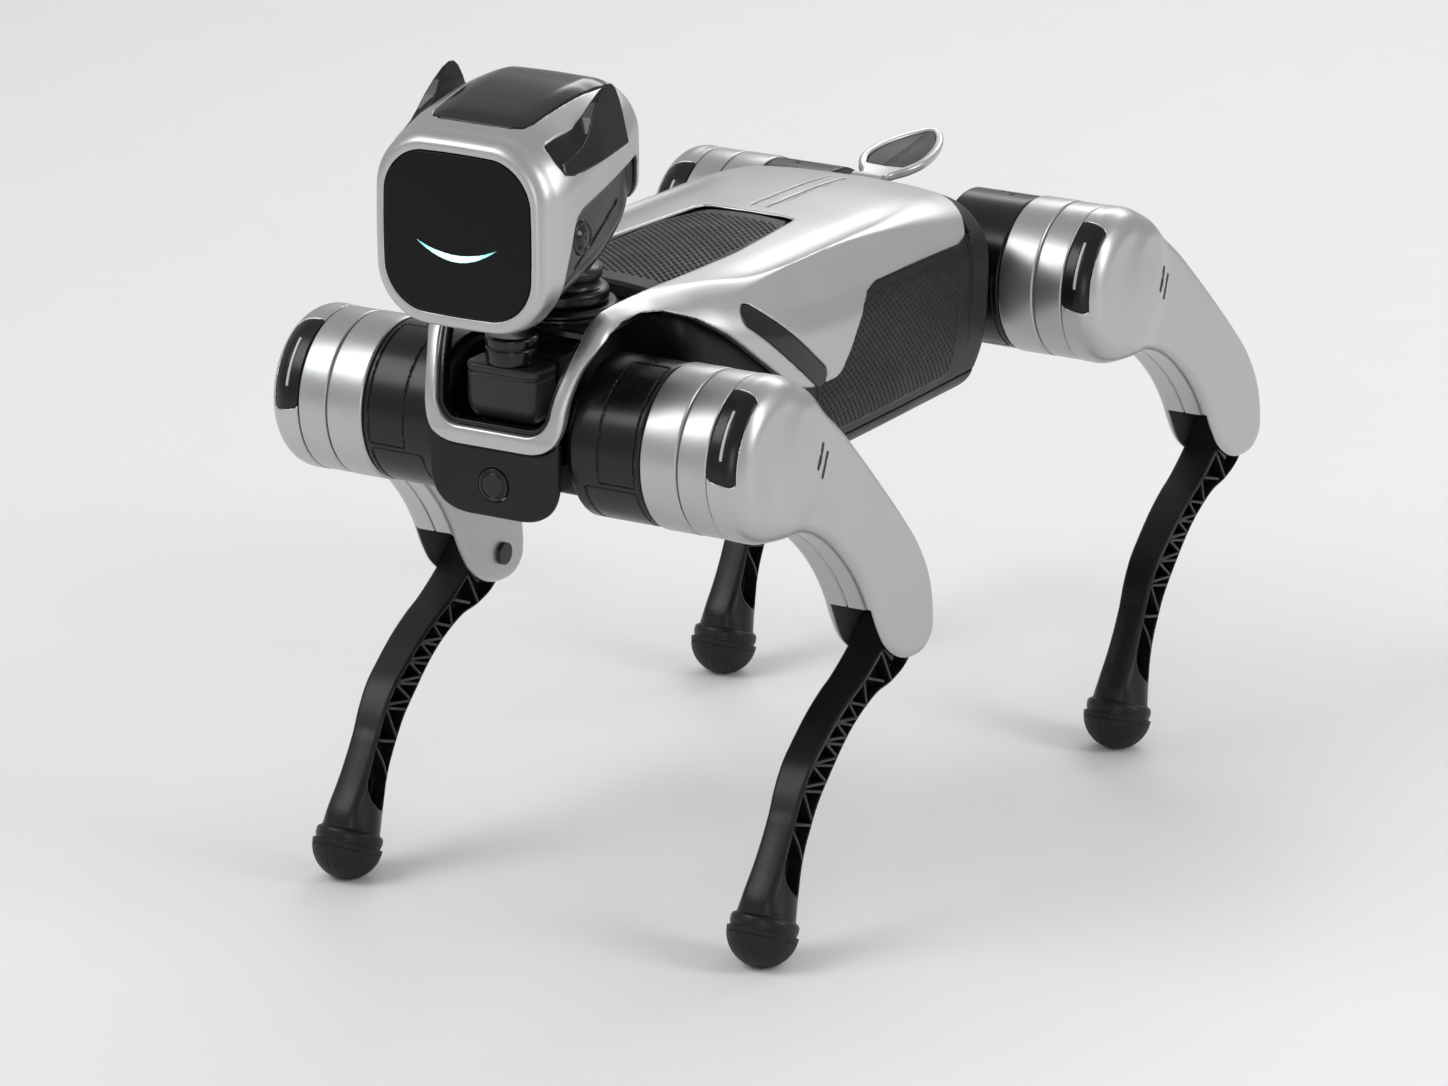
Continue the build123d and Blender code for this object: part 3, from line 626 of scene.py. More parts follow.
def light_insert_field(x, v, w):
    """Black insert that fills the window, with a groove for the light guide."""
    form = thigh_form(x, v, w, SHELL_RIM)
    field = joined(window(x, v, w) + 0.2, span(form, -WINDOW_DEPTH - 0.2, -0.5), 0.4)
    return maximum(field, -guide_field(x, v, w) + 0.25)


def guide_field(x, v, w):
    """Thin light guide along the insert's middle."""
    form = thigh_form(x, v, w, SHELL_RIM)
    along = DRUM_RADIUS * (round_angle(v + WINDOW_SLANT * (x - WINDOW_X[0]), w) - radians(99))
    return maximum(capsule(along, x, (-14, 138), (14, 138), 0.8), span(form, -1.8, -0.35))


MARK = [(20, -28), (20, -38.5)]


def mark_field(x, v, w):
    """Two plain slanted bars laid on the face of the thigh."""
    skin = np.abs(thigh_form(x, v, w, SHELL_RIM)) - 0.18
    bars = [capsule(v, w, (at - 6, up - 1.6), (at + 6, up + 1.6), 1.9) for at, up in MARK]
    return maximum(maximum(skin, minimum(*bars)), 146 - x)


# ---- Shank and foot ----
ANKLE_LEAN = radians(20)
FOOT_RADIUS = 20.2
SHANK_SHAPE = Outline(smooth_loop([(-14, 0), (-15, -20), (-20.5, -45), (-25.5, -58), (-30.5, -75),
    (-34, -95), (-35.5, -110), (-33.5, -125), (-29, -140), (-25, -155), (-21.5, -170), (-18, -187),
    (0, -191), (12, -185), (7, -172), (3, -163), (-2, -153), (-7.5, -137), (-12.5, -118), (-13.3, -101),
    (-13, -83), (-11, -69), (-7, -56), (-1, -43), (9, -30), (16.5, -13), (14.5, 4), (8, 12), (0, 14.5),
    (-9, 11)]))
RIBS = [((-22, -22), (7, -30)), ((-26, -46), (-1, -35)), ((-30, -64), (-4, -53)), ((-34, -79), (-6, -67)),
    ((-37, -94), (-8, -80)), ((-40, -110), (-8, -93)), ((-40, -126), (-8, -110)), ((-38, -146), (-2, -128)),
    ((-22, -45), (-8, -54)), ((-27, -63), (-12.5, -65)), ((-12.5, -65), (-30, -77)),
    ((-31, -78), (-14, -78)), ((-14, -78), (-34, -91)), ((-34, -92), (-14, -91)), ((-14, -91), (-36, -107)),
    ((-36, -108), (-14, -107)), ((-14, -107), (-36, -122)), ((-33, -123), (-9, -131)),
    ((-31, -143), (-4, -152))]


def ankle(v, w):
    """Height along the ankle's axis above the foot's centre, and offset across it."""
    return (-v * sin(ANKLE_LEAN) + (w + SHANK) * cos(ANKLE_LEAN),
            v * cos(ANKLE_LEAN) + (w + SHANK) * sin(ANKLE_LEAN))


def shank_field(x, v, w):
    """Bowed beam with a lattice let into both sides, a knee eye, a flared ankle and its collar."""
    half = course(-w, (0, 11.4), (55, 11.3), (100, 10.4), (150, 8.8), (190, 8.5))
    across = np.abs(x - LEG_PLANE_X) - half
    shape = SHANK_SHAPE(v, w)
    beam = joined(shape, across, 2.6)
    height, off = ankle(v, w)
    r = hypot(off, x - LEG_PLANE_X)
    cone = (r - course(height, (0, 17.4), (7, 16.6), (20, 14.2), (37, 10.2), (62, 5))) * 0.97
    beam = soft_min(beam, joined(cone, span(height, 4, 60), 1), 8)
    wall = soft_max(shape + 1.9, -w - 173, 12)
    pockets = maximum(wall, w + 22)
    for start, end in RIBS:
        pockets = maximum(pockets, -capsule(v, w, start, end, 0.9))
    notch = maximum(shape + 1.7, capsule(v, w, (4, -19), (9, -17), 5.5))
    notch = maximum(notch, -capsule(v, w, (-22, -22), (7, -30), 0.9))
    depth = half - 8.4 - np.abs(x - LEG_PLANE_X)
    beam = soft_max(beam, -maximum(minimum(pockets, notch), depth), 0.7)
    beam = maximum(beam, -height + 0.4)
    beam = minimum(beam, joined(r - 19.3, span(height, 0.3, 8), 3))
    beam = minimum(beam, maximum(r - 18.8, span(height, -0.6, 3)))
    return maximum(beam, 5.1 - hypot(v, w))


def foot_field(turn, knee_z):
    """Rubber ball with a moulded band, ground flat at floor level."""
    def field(x, v, w):
        height, off = ankle(v, w)
        r = hypot(off, x - LEG_PLANE_X)
        ball = hypot(r, height) - FOOT_RADIUS
        angle = np.arctan2(off, x - LEG_PLANE_X)
        tread = clip(np.cos(angle * 8), 0.86, 1) - 0.86
        ball = ball + 2.2 * tread * ramp(-height, 4, 9) * ramp(height, -19, -14)
        ball = maximum(ball, -maximum(np.abs(height + 3.2) - 0.35, FOOT_RADIUS - 0.7 - r))
        above_floor = knee_z + v * sin(turn) + w * cos(turn)
        return joined(maximum(ball, height - 0.1), -above_floor, 1.2)
    return field


THIGH_PIECES = [    # name, field, low and high corners, step, material, CAD nodes
    ("thigh_outer", thigh_shell_field, (128, -50, -226), (158, 54, 50), 0.95, "silver_paint",
     ["thigh_shell"]),
    ("thigh_inner", thigh_cover_field, (116, -50, -226), (137, 54, 50), 0.95, "silver_paint",
     ["thigh_inner_cover"]),
    ("light_insert", light_insert_field, (128, -42, 18), (149, 26, 48), 0.6, "light_strip", ["light_bar"]),
    ("light_guide", guide_field, (135, -36, 26), (141, 20, 48), 0.45, "light_guide", []),
    ("thigh_mark", mark_field, (148, 10, -46), (158, 31, -22), 0.4, "mark_black", []),
]


def make_legs():
    barrel = surface_net(barrel_field, (36, -50, -48), (90, 52, 48), 0.8 * FINE)
    points, faces, normals = barrel
    front_to_back = array([1, -1, 1])
    rear_barrel = points * front_to_back, faces[:, ::-1], normals * front_to_back
    shank = surface_net(shank_field, (115, -42, -210), (157, 24, 18), 0.8 * FINE)
    thigh = [("drum", drum_shape(), "silver_machined", ["thigh_drum"])]
    for name, field, low, high, step, material, replaces in THIGH_PIECES:
        thigh.append((name, surface_net(field, low, high, step * FINE), material, replaces))
    for k in LEGS:
        # the abduction shaft leaves towards the middle of the trunk
        limb_piece("barrel", rear_barrel if k[0] == "r" else barrel, k, "pitch_", 0, "black_metal", "hip",
            ["hip_housing"])
        for name, shape, material, replaces in thigh:
            limb_piece(name, shape, k, "pitch_", LEAN[k], material, "thigh", replaces)
        limb_piece("shank_beam", shank, k, "knee_", TURN[k], "shank_black", "shank", ["shank"])
        rubber = foot_field(TURN[k], JOINTS["knee_" + k].z)
        ball = surface_net(rubber, (114, -24, -218), (158, 24, -174), 0.9 * FINE)
        limb_piece("foot_ball", ball, k, "knee_", TURN[k], "rubber_foot", "shank", ["foot"])


# ---- Trunk ----
SHELL_WIDTH = [(-254, 46), (-232, 55), (-205, 58.5), (-170, 64.5), (-150, 71), (-130, 79), (-108, 86),
    (-80, 91), (-45, 93.5), (40, 94.6), (118, 94), (138, 93), (152, 91.5)]
SHELL_TOP = [(-254, 357), (-232, 361), (-205, 364), (-170, 363.8), (-130, 362), (-80, 360), (40, 358.2),
    (118, 355), (138, 352.5), (152, 349.5)]
NECK_OPENING = Outline(both_sides([(0, 21), (25, 21.2), (29, 20), (31, 15), (34.5, -20), (38, -60),
    (42.5, -190), (43.5, -232), (43.5, -275), (0, -275)]))
LIP = [(-219, 353), (-205, 356.6), (-188, 357.2), (-170, 354.5), (-150, 346.5), (-132, 334), (-112, 317),
    (-93, 302), (-76, 292), (-62, 286), (-52, 284.2), (-44, 286.5), (-35, 293), (-26, 302.5), (-18, 314),
    (-10, 324), (-2, 330), (10, 332.6), (60, 332.4), (104, 331.6), (114, 333.5), (122, 338), (131, 341)]
SHELL_SIDE = Outline([(-275, 262), (-246, 262), (-245.5, 300), (-242, 320), (-235, 336), (-228, 346), *LIP,
    (175, 342), (175, 400), (-275, 400)])
LIDAR_Y, BUTTON_Z = -231.5, 268.5
STRIP_START, STRIP_END = (-113.5, 340.5), (-57.5, 294.5)


def shell_thickness(y):
    return course(y, (-250, 6.4), (-150, 6.4), (-90, 5.6), (-50, 3.4), (150, 3.2))


def rear_edge(x, y):
    """Distance behind the curved rear edge of the silver shell."""
    return y - 143.5 + 20 * (x / 85) ** 2


def trunk_form(x, y, z):
    """Outer form of the back, its two arms and the bend down into the collar."""
    ax = np.abs(x)
    width = course(y, *SHELL_WIDTH)
    top = course(y, *SHELL_TOP)
    bevel = course(y, (-252, 3.5), (-205, 5), (-170, 8), (-150, 10), (-130, 12), (-100, 15), (152, 15))
    valley = 1.8 * np.exp(-((ax - 64) / 9) ** 2) * ramp(y, -125, -80) * (1 - ramp(y, 30, 110))
    roof = z - (top - 4.6 * (ax / 90) ** 2 - valley)
    slope = 0.79 * (ax - (width - bevel)) + 0.613 * (z - (top - 2 - 0.4 * bevel))
    crease = course(y, (-252, 6), (-170, 10), (-130, 9), (-100, 4), (60, 5), (110, 10), (152, 13))
    form = soft_max(roof, slope, crease)
    form = soft_max(form, ax - width, 7)
    front = course(z, (296, -254), (318, -250.5), (338, -241), (352, -231), (364, -219))
    form = soft_max(form, (front - y) * 0.88, 10)
    return soft_max(form, y - 150, 13)


def strip_plan(y, z):
    """Side view of the black strip in each lobe."""
    return capsule(y, z, STRIP_START, STRIP_END, 3.4) - 3.1


def shell_reach(x, y, z):
    """Distance beyond the outer edge of the arms and of the collar."""
    at_front = course(z, (286, 44.2), (318, 45.2), (338, 49.5), (352, 55), (364, 58))
    behind = course(y, (-236, 55), (-210, 57.8), (-170, 63), (-150, 71), (-132, 79), (-112, 88), (-85, 100),
        (-48, 120), (150, 120))
    return np.abs(x) - at_front - (behind - at_front) * ramp(y, -240, -214)


def collar_mouth(x, z, shrink):
    """U-shaped opening of the collar, wider at its top."""
    half = 35.2 + course(z, (300, 0), (318, 1.6), (350, 8.4)) - shrink
    return joined(np.abs(x) - half, 299.5 + shrink - z, 14 - shrink)


def top_shell_field(x, y, z):
    form = trunk_form(x, y, z)
    skin = joined(form, -form - shell_thickness(y), 0.6)
    kept = soft_max(SHELL_SIDE(y, z), soft_max(shell_reach(x, y, z), 289.5 - z, 24), 3)
    kept = soft_max(kept, rear_edge(x, y), 8)
    field = joined(skin, kept, 0.9)
    mouth = minimum(collar_mouth(x, z, 0), 352 - z)
    field = soft_max(field, -maximum(NECK_OPENING(x, y), mouth), 1.8)
    field = soft_max(field, -maximum(strip_plan(y, z), 60 - np.abs(x)), 1.2)
    return maximum(field, -maximum(groove_plan(x, y, 1.7), -form - 1.2))


def groove_plan(x, y, radius):
    return capsule(np.abs(x), y, (5, 33), (5, 124), radius)


def groove_field(x, y, z):
    """Two silver channels let into the back."""
    form = trunk_form(x, y, z)
    channel = maximum(groove_plan(x, y, 2.0), span(form, -1.6, 0.04))
    return soft_max(channel, -maximum(groove_plan(x, y, 1.05), -form - 0.9), 0.3)


def arch_liner_field(x, y, z):
    """Black lining under the arms and under the front of the lobes."""
    form = trunk_form(x, y, z)
    wall = shell_thickness(y) + 0.2
    skin = joined(form + wall, -form - wall - 2.2, 0.5)
    kept = soft_max(SHELL_SIDE(y, z), shell_reach(x, y, z), 4) + 1.8
    field = joined(skin, maximum(kept, y + 44), 0.8)
    return maximum(maximum(field, -NECK_OPENING(x, y) + 1), 290 - z)


def strip_field(x, y, z):
    form = trunk_form(x, y, z)
    skin = joined(form + 0.7, -form - 3.0, 0.5)
    return joined(skin, maximum(strip_plan(y, z) + 0.3, 60 - np.abs(x)), 0.5)


def tub_field(x, y, z):
    """Black lower body, with a rim that shows round the rear edge of the silver shell."""
    ax = np.abs(x)
    side = course(z, (229, 68), (236, 74), (249, 80.5), (264, 86), (294, 90.6), (330, 91.2), (360, 91.2))
    side = side * course(y, (-150, 0.9), (-110, 0.95), (-60, 0.985), (-20, 1.0), (150, 1.0))
    room = course(y, (-150, 9.4), (-100, 8.4), (-50, 4.4), (0, 2.4), (150, 2.4))
    under_shell = ramp(-rear_edge(x, y), 0, 1.5) * room
    field = soft_max(trunk_form(x, y, z) + 1.3 + under_shell, ax - side, 5)
    field = soft_max(field, 230.4 - z, 14)
    field = soft_max(field, y - 149.6, 9)
    field = soft_max(field, -149.5 - y, 12)
    field = maximum(field, -maximum(NECK_OPENING(x, y) - 1.5, 345 - z))
    parting = maximum(np.abs(z - 246) - 0.5, side - ax - 1)
    return maximum(field, -parting)


def settled_x(field, y, z, start):
    """x on the zero level of a field, found along the x direction from outside."""
    x = np.full_like(y, start)
    for _ in range(24):
        x = x - field(x, y, z) * 0.9
    return x


def sheet(face, back):
    """Closed sheet of quads from matching grids of its face and its back."""
    n, m = face.shape[:2]
    points = np.concatenate([face.reshape(-1, 3), back.reshape(-1, 3)])
    index = arange(n * m).reshape(n, m)
    quads = stack([index[:-1, :-1], index[1:, :-1], index[1:, 1:], index[:-1, 1:]], 2).reshape(-1, 4)
    faces = [quads, quads[:, ::-1] + n * m]
    for rim in (index[:, 0], index[-1, :], index[::-1, -1], index[0, ::-1]):
        faces.append(stack([rim[1:], rim[:-1], rim[:-1] + n * m, rim[1:] + n * m], 1))
    return points, np.concatenate(faces)


def dashes(u, v, row_pitch, dash_pitch, length, width):
    """Rows of short slots along u, every other row shifted: 1 inside a slot, 0 between slots."""
    row = np.floor(v / row_pitch)
    across = np.abs(v - (row + 0.5) * row_pitch)
    along = np.abs((u + row % 2 * dash_pitch / 2) % dash_pitch - dash_pitch / 2)
    away = hypot(maximum(along - length / 2, 0), across)
    return 1 - ramp(away, width / 2 - 0.15, width / 2 + 0.2)


def grille_shape():
    """Domed panel with slanted rows of slots."""
    step = 0.54 * FINE
    rows, columns = int(165 / step), int(80 / step)
    s, t = np.meshgrid(linspace(-1, 1, columns), linspace(-146, 20.6, rows), indexing="ij")
    half = course(t, (-146, 40.3), (-60, 37.4), (8, 31.3), (20.6, 26.5))
    x = s * half
    edge = minimum(minimum(half - np.abs(x), 20.6 - t), t + 146)
    z = 356.3 + 3.2 * (1 - (x / 40) ** 2) - 1.6 * (1 - ramp(edge, 0, 2.5)) - 2.0 * ramp(t, -30, 20)
    turn = radians(48)
    u, v = x * sin(turn) - t * cos(turn), x * cos(turn) + t * sin(turn)
    inside = ramp(edge, 3.5, 5) * (1 - ramp(t, 8, 10)) * ramp(t, -132, -128)
    z = z - 1.0 * inside * dashes(u, v, 3.7, 4.8, 2.1, 1.5)
    return sheet(stack([x, t, z], 2), stack([x * 0.98, t, 0 * z + 351], 2))


def perforation_shape(side):
    """Skin of small slanted slots on one flank of the tub."""
    step = 0.55 * FINE
    z, y = np.meshgrid(arange(251, 329.5, step), arange(-52, 108, step), indexing="ij")
    x = settled_x(tub_field, y, z, 96.0)
    edge = minimum(minimum(z - z.min(), z.max() - z), minimum(y - y.min(), y.max() - y))
    turn = radians(45)
    u, v = y * cos(turn) - z * sin(turn), y * sin(turn) + z * cos(turn)
    lift = 0.55 * ramp(edge, 0, 1.2) - 0.75 * ramp(edge, 2, 3) * dashes(u, v, 3.2, 4.0, 1.5, 1.1)
    face = stack([side * (x + lift), y, z], 2)
    back = stack([side * (x - 1.2), y, z], 2)
    points, faces = sheet(face, back)
    return points, faces if side < 0 else faces[:, ::-1]


def chest_field(x, y, z):
    """Satin plate under the collar, with a round hole for the button."""
    plan = soft_max(np.abs(x) - 41, 250 - z, 26)
    plan = maximum(plan, z - 298.5)
    plan = soft_max(plan, -ball_box(x, z - 371, 45.4, 82.2, 22), 1)
    plate = joined(plan, span(y, -251, -246.6), 1.4)
    return maximum(plate, 9.7 - hypot(x, z - BUTTON_Z))


def collar_lining_field(x, y, z):
    """Black cheeks inside the collar, round the lidar block."""
    ring = maximum(collar_mouth(x, z, 0.3), -collar_mouth(x, z, 2.8))
    front = course(z, (296, -251), (318, -247.5), (338, -238), (352, -228)) - y
    field = joined(ring, maximum(front, -front - 7), 0.5)
    return maximum(field, z - 350)


def pedestal_field(x, y, z):
    """Block of the lidar: rounded below, with a bevelled upper plate."""
    body = soft_max(ball_box(x, y - LIDAR_Y, 23.6, 12, 7), 299.8 - z, 14)
    body = joined(body, z - 327, 1.0)
    plate = joined(ball_box(x, y - LIDAR_Y, 24, 12.4, 7.5), span(z, 327.6, 333), 2.2)
    return minimum(minimum(body, plate), maximum(ball_box(x, y - LIDAR_Y, 23, 11.4, 7), span(z, 320, 330)))


def neck_deck_field(x, y, z):
    """Glossy deck in front of the grille, with stepped rings about the neck."""
    deck = joined(NECK_OPENING(x, y) + 1.0, span(z, 346, 350.5), 1)
    deck = maximum(deck, span(y, -217.5, -147))
    r = hypot(x, y - NECK_Y)
    return minimum(deck, maximum(r - 33, span(z, 346, 352)))


def upright(shape, y):
    """Lathe shape about x stood up about a vertical axis at y."""
    points, faces = shape
    return stack([points[:, 1], points[:, 2] + y, points[:, 0]], 1), faces


def plain_piece(name, shape, material, body, replaces=(), slot=None):
    """Trunk-frame shape of points and faces, left to Blender's own shading."""
    points, faces = shape
    return new_piece(name, leave(points), faces, material, body, replaces, slot)


def make_trunk():
    surface_piece("shell_top", top_shell_field, (-100, -257, 280), (100, 153, 368), 1.18, "silver_paint",
        "trunk", ["top_shell"])
    surface_piece("arch_liner", arch_liner_field, (-94, -252, 286), (94, -40, 362), 1.1, "black_gloss",
        "trunk")
    surface_piece("tub", tub_field, (-96, -153, 227), (96, 153, 360), 1.6, "black_shell", "trunk",
        ["body_tub"])
    for name, side in (("left", 1), ("right", -1)):
        low, high = sorted((side * 58, side * 98))
        surface_piece("strip_" + name, strip_field, (low, -124, 284), (high, -46, 352), 0.7, "black_gloss",
            "trunk", ["shoulder_strips"])
        plain_piece("perforation_" + name, perforation_shape(side), "black_shell", "trunk")
    plain_piece("grille_panel", grille_shape(), "grille", "trunk", ["neck_grille"])
    surface_piece("chest", chest_field, (-44, -253, 246), (44, -244, 302), 0.6, "black_shell", "trunk",
        ["chest_plate"])
    surface_piece("collar_lining", collar_lining_field, (-46, -253, 297), (46, -218, 353), 0.7,
        "black_gloss", "trunk", slot="black_gloss")
    surface_piece("lidar_block", pedestal_field, (-26, -247, 297), (26, -218, 335), 0.6, "smoked_lens",
        "trunk", ["lidar_pedestal"])
    cap = [(0.03, 333.2), (14.2, 333.2), (14.6, 334.4), (14.6, 341.4), (14.0, 342), (14.0, 342.6),
        (14.8, 343.2), (14.8, 347.6), (13.4, 349), (0.03, 349)]
    plain_piece("lidar_window", upright(lathe(cap, 0.4), LIDAR_Y + 1), "black_gloss", "trunk",
        ["lidar_cap"], "smoked_lens")
    surface_piece("back_grooves", groove_field, (-8, 29, 350), (8, 128, 362), 0.45, "silver_paint", "trunk")
    surface_piece("neck_deck", neck_deck_field, (-45, -222, 343), (45, -144, 355), 0.9, "black_gloss",
        "trunk", ["neck_base"], "black_metal")
    plain_piece("yaw_ring", upright(lathe([(20, 352.2), (31.5, 352.2), (31.5, 353.6), (29.5, 355.8),
        (20, 355.8)], 0.5), NECK_Y), "black_metal", "trunk")
    button = [(0.03, 247.6), (9.2, 247.6), (9.2, 251.5), (7.7, 251.9), (7.4, 251.2), (6.7, 251.2),
        (6.4, 251.9), (0.03, 251.9)]
    points, faces = lathe([(r, -at) for r, at in button], 0.35)
    points = stack([points[:, 1], points[:, 0], points[:, 2] + BUTTON_Z], 1)
    plain_piece("button_face", (points, faces[:, ::-1]), "black_gloss", "button", ["chest_button"])


# ---- Neck ----
def from_pivot(y, z):
    """Distance from the axis that the head nods about."""
    return hypot(y - HEAD_PIVOT_Y, z - HEAD_PIVOT_Z)


def neck_post_field(x, y, z):
    """Post that rises to the head's axle, with side cheeks and a waist."""
    ax = np.abs(x)
    post = joined(ball_box(x, y - NECK_Y + 1, 14, 12, 7), span(z, 388, 398), 3)
    head = joined(from_pivot(y, z) - 12.5, ax - 14.6, 2)
    axle = maximum(from_pivot(y, z) - 5.8, ax - 26.5)
    return minimum(soft_min(post, head, 3), axle)


def make_neck():
    rings = [(0.03, 356.6), (25.6, 356.6), (26, 358), (26, 362.5), (24.6, 364), (21.5, 364.4), (20.6, 366),
        (20.6, 368.6), (22.4, 369.6), (22.4, 374), (20.8, 375.6), (17.6, 376.2), (16.4, 378), (16.4, 381),
        (18.2, 382), (18.2, 386), (16.6, 388), (0.03, 388)]
    plain_piece("neck_rings", upright(lathe(rings, 0.7), NECK_Y), "black_metal", "neck", ["neck_yoke"])
    surface_piece("neck_post", neck_post_field, (-29, -204, 380), (29, -170, 412), 0.8, "black_metal",
        "neck")


# ---- Head ----
HEAD_HALF = [(-285, 49.6), (-283, 51.4), (-272, 55.6), (-262, 57.4), (-240, 56.6), (-205, 54), (-186, 51),
    (-175, 47), (-168, 42)]
HEAD_LOW = [(-285, 365.5), (-282, 363.8), (-274, 362.8), (-262, 363.2), (-240, 368), (-205, 379),
    (-180, 397), (-168, 414)]
HEAD_HIGH = [(-285, 464.4), (-283, 466.4), (-272, 471), (-262, 474.4), (-240, 479.6), (-205, 484.2),
    (-182, 483), (-168, 477)]
SCREEN_Z, SCREEN_HALF, SCREEN_TALL = 415.5, 46.0, 44.5
WINDOW = Outline([(-269.5, 330), (-269.5, 377), (-268, 384), (-265.5, 396.5), (-257.5, 422), (-255, 426.5),
    (-250, 429.5), (-215, 437.5), (-187, 443.8), (-182.5, 443), (-179.5, 438), (-177, 428), (-174.5, 417),
    (-171, 411), (-150, 409), (-150, 330)])
ROOF_PANEL = Outline(both_sides([(0, -265.5), (22, -265.2), (28, -263), (30.5, -257), (32.5, -225),
    (34, -193), (32.5, -184.5), (27, -181.5), (0, -180)]))
EAR_SEAT = Outline([(-265, 500), (-265.5, 458), (-262.5, 451), (-256, 449.6), (-214, 456.2), (-206, 459),
    (-202.5, 465), (-202, 500)])
EAR_SIDE = Outline([(-262, 448), (-262, 456), (-252, 459.5), (-245, 463), (-239, 468), (-233, 475),
    (-226, 482), (-219, 487.2), (-213, 489.3), (-209, 488.9), (-206, 486), (-203.8, 480), (-203, 472),
    (-203, 456)])


def head_form(x, y, z):
    """Rounded block of the head, drawn in towards the rear."""
    half, low, high = course(y, *HEAD_HALF), course(y, *HEAD_LOW), course(y, *HEAD_HIGH)
    corner = course(y, (-285, 28), (-274, 31), (-240, 31), (-205, 29), (-180, 26), (-168, 22))
    middle = (low + high) / 2
    a = np.abs(x) - half + corner + 1.6 * ((z - middle) / 50) ** 2
    b = np.abs(z - middle) - (high - low) / 2 + corner + 1.6 * (x / 50) ** 2
    section = minimum(maximum(a, b), 0) + hypot(maximum(a, 0), maximum(b, 0)) - corner
    field = soft_max(section * 0.95, -284.6 - y, 1.6)
    return soft_max(field, y + 168.5, 12)


def ear_seat(x, y, z):
    """Black patch on each upper corner of the head."""
    return soft_max(EAR_SEAT(y, z), 42.5 + 0.1 * (y + 262) - np.abs(x), 3)


def screen_plan(x, z):
    """Rounded square of the face, its sides a little bowed."""
    u, v = np.abs(x), np.abs(z - SCREEN_Z)
    return joined(u - SCREEN_HALF + 1.8 * (v / 45) ** 2, v - SCREEN_TALL + 1.8 * (u / 45) ** 2, 23)


def head_shell_field(x, y, z):
    form = head_form(x, y, z)
    field = joined(form, -form - 3.0, 0.6)
    screen = maximum(screen_plan(x, z) - 0.3, y + 272)
    field = soft_max(field, -screen, 0.8)
    window = maximum(WINDOW(y, z), 24 - np.abs(x))
    field = soft_max(field, -window, 1.6)
    below = maximum(maximum(np.abs(x) - 36, z - 432), maximum(-252 - y, y + 140))
    field = soft_max(field, -below, 2)
    field = soft_max(field, -maximum(ROOF_PANEL(x, y) - 0.3, 440 - z), 1.0)
    field = soft_max(field, -ear_seat(x, y, z), 1.0)
    chin = maximum(hypot(x / 13, (y + 270) / 5) * 5 - 5, z - 370)
    return maximum(field, -chin)


def roof_panel_field(x, y, z):
    form = head_form(x, y, z)
    skin = joined(form - 0.7 * ramp(-ROOF_PANEL(x, y), 0, 12), -form - 2.8, 0.5)
    return joined(skin, maximum(ROOF_PANEL(x, y) + 0.2, 440 - z), 0.7)


def head_core_field(x, y, z):
    """Black inner head, recessed a little in the side openings."""
    ax = np.abs(x)
    sunk = 3.4 + 2.2 * ramp(-WINDOW(y, z), 1.5, 6)
    field = head_form(x, y, z) + sunk
    groove = capsule(y, z, (-248, 396), (-200, 422), 0.9)
    field = maximum(field, -maximum(groove, -field - 0.9))
    field = soft_max(field, -maximum(maximum(ax - 18.5, span(y, -241, -140)), z - 426), 2)
    field = maximum(field, 371.5 - z)
    bore = maximum(6.2 - from_pivot(y, z), ax - 28.5)
    field = maximum(field, np.where(ax < 28.5, bore, -1e3))
    return soft_max(field, -275.5 - y, 1)


def ear_field(x, y, z):
    """Shark-fin ear: hollowed front edge, steep rear edge and a pointed tip."""
    ax = np.abs(x)
    rise = clip((489.5 - z) / 45, 0, 1)
    middle = 49.6 - 1.4 * rise
    half = 0.7 + 9.5 * rise ** 1.15 * ramp(y, -275, -225) + 2.2 * rise
    fin = joined(EAR_SIDE(y, z), np.abs(ax - middle) - half, 0.6)
    form = head_form(x, y, z)
    seat = joined(joined(form + 0.5, -form - 3.4, 0.4), ear_seat(x, y, z) + 0.3, 0.4)
    return soft_min(maximum(fin, -form - 3.2), seat, 5)


def pod_shape(side, place, radius, rings):
    """Domed pod on the side of the head at (x, y, z)."""
    points, faces = lathe([(r * radius, x) for r, x in rings], 0.6, 96)
    points = stack([side * (points[:, 0] + place[0]), points[:, 1] + place[1], points[:, 2] + place[2]], 1)
    return points, faces if side > 0 else faces[:, ::-1]


def glass_bulge(x, z):
    return 1.3 * (1 - clip((x / 47) ** 2 + ((z - SCREEN_Z) / 46) ** 2, 0, 2) / 2)


def screen_field(x, y, z):
    """Slightly domed glass of the face."""
    plan = screen_plan(x, z) + 0.2
    return joined(plan, maximum(-284.1 - glass_bulge(x, z) - y, y + 280.5), 0.8)


def smile_field(x, y, z):
    """Crescent of light just proud of the glass."""
    lower, upper = 401.2 + 10.8 * (x / 27) ** 2, 405.2 + 6.8 * (x / 27) ** 2
    plan = maximum((lower - z) * 0.8, (z - upper) * 0.8)
    return maximum(plan, maximum(-284.17 - glass_bulge(x, z) - y, y + 283))


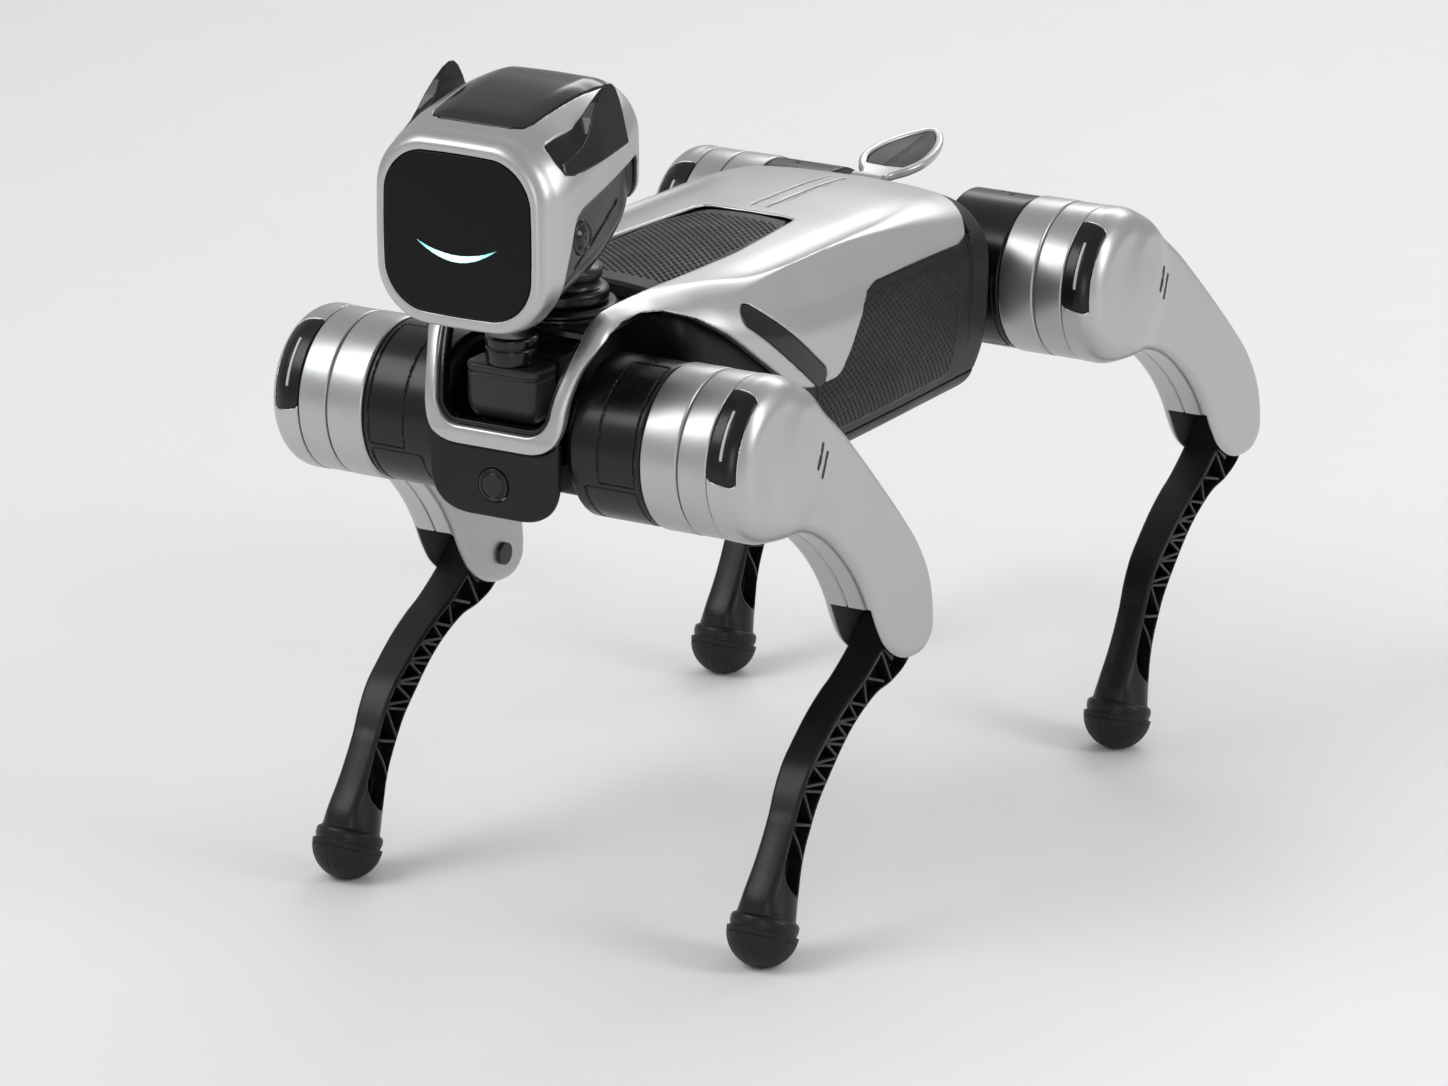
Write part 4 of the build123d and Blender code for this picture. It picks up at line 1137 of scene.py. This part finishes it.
def make_head():
    low, high = (-60, -287, 358), (60, -165, 492)
    surface_piece("head_frame", head_shell_field, low, high, 0.9, "silver_paint", "head", ["head_shell"])
    surface_piece("head_inner", head_core_field, low, high, 1.1, "black_gloss", "head", ["head_core"])
    surface_piece("roof_panel", roof_panel_field, (-37, -269, 455), (37, -176, 488), 0.9, "black_gloss",
        "head", ["head_top_panel"])
    for name, side in (("left", 1), ("right", -1)):
        a, b = sorted((side * 36, side * 60))
        surface_piece("ear_" + name, ear_field, (a, -268, 442), (b, -200, 491), 0.6, "black_gloss", "head",
            ["ears"], "black_shell")
        front = pod_shape(side, (43.5, -241, 411.5), 10.2, [(0.05, 0), (1, 0), (1, 6.5), (0.93, 8.2),
            (0.8, 8.6), (0.74, 7.9), (0.66, 8.2), (0.4, 9.6), (0.05, 10)])
        plain_piece("pod_" + name, front, "black_gloss", "head", ["temple_pods"])
        rear = pod_shape(side, (39.5, -197, 434), 6.6, [(0.05, 0), (1, 0), (1, 5.5), (0.85, 6.8),
            (0.6, 6.8), (0.5, 6.1), (0.05, 6.1)])
        plain_piece("boss_" + name, rear, "black_metal", "head", slot="black_gloss")
    surface_piece("screen", screen_field, (-48, -287, 369), (48, -279, 462), 0.8, "screen_glass", "head",
        ["face_screen"])
    surface_piece("smile", smile_field, (-28, -287, 399), (28, -282, 414), 0.4, "face_glow", "head",
        ["face_light"])


# ---- Tail ----
TAIL_PIN = 158, 343
LEAF = Outline(smooth_loop(both_sides([(0, 159), (8, 160), (10, 168), (17, 177), (21, 188), (20.5, 202),
    (17, 216), (11, 229), (4, 237.5), (0, 239)])))


def tail_height(x, y):
    """Middle surface of the leaf: rises to the tip and is dished across."""
    return 343.4 + (y - 158) * 13 / 82 + 1.4 * (x / 20) ** 2


def tail_field(x, y, z):
    lift = z - tail_height(x, y)
    leaf = joined(LEAF(x, y), span(lift, -2.6, 2.6), 1.6)
    hollow = maximum(maximum(LEAF(x, y) + 4.6, -lift + 0.4), 178 - y)
    leaf = soft_max(leaf, -hollow, 1)
    root = maximum(hypot(y - TAIL_PIN[0], z - TAIL_PIN[1]) - 6, np.abs(x) - 9.8)
    pin = maximum(hypot(y - TAIL_PIN[0], z - TAIL_PIN[1]) - 2.9, np.abs(x) - 14.8)
    return minimum(soft_min(leaf, root, 2), pin)


def inlay_field(x, y, z):
    lift = z - tail_height(x, y)
    plan = maximum(LEAF(x, y) + 4.9, 178.4 - y)
    rib = 0.5 * (1 - ramp(np.abs(x), 0.6, 1.6))
    return joined(plan, maximum(lift - 1.6 - rib, 0.1 - lift), 0.5)


def make_tail():
    surface_piece("tail_leaf", tail_field, (-24, 149, 334), (24, 242, 362), 0.7, "silver_paint", "tail",
        ["tail_fin"])
    surface_piece("tail_insert", inlay_field, (-20, 175, 342), (20, 238, 362), 0.7, "black_shell", "tail",
        ["tail_inlay"], "black_gloss")


# ---- Assembly ----
MATERIAL = make_materials()
SLOT_OF = {p["node"]: p["material_slot"] for p in frame["record"]["subparts"]}


def dress_cad_nodes():
    """Every carried-over CAD node takes the procedural material of its slot."""
    for name, node in frame["nodes"].items():
        node.data.materials.clear()
        node.data.materials.append(MATERIAL[SLOT_OF[name]])


make_camera()
make_studio()
dress_cad_nodes()
make_legs()
make_trunk()
make_neck()
make_head()
make_tail()
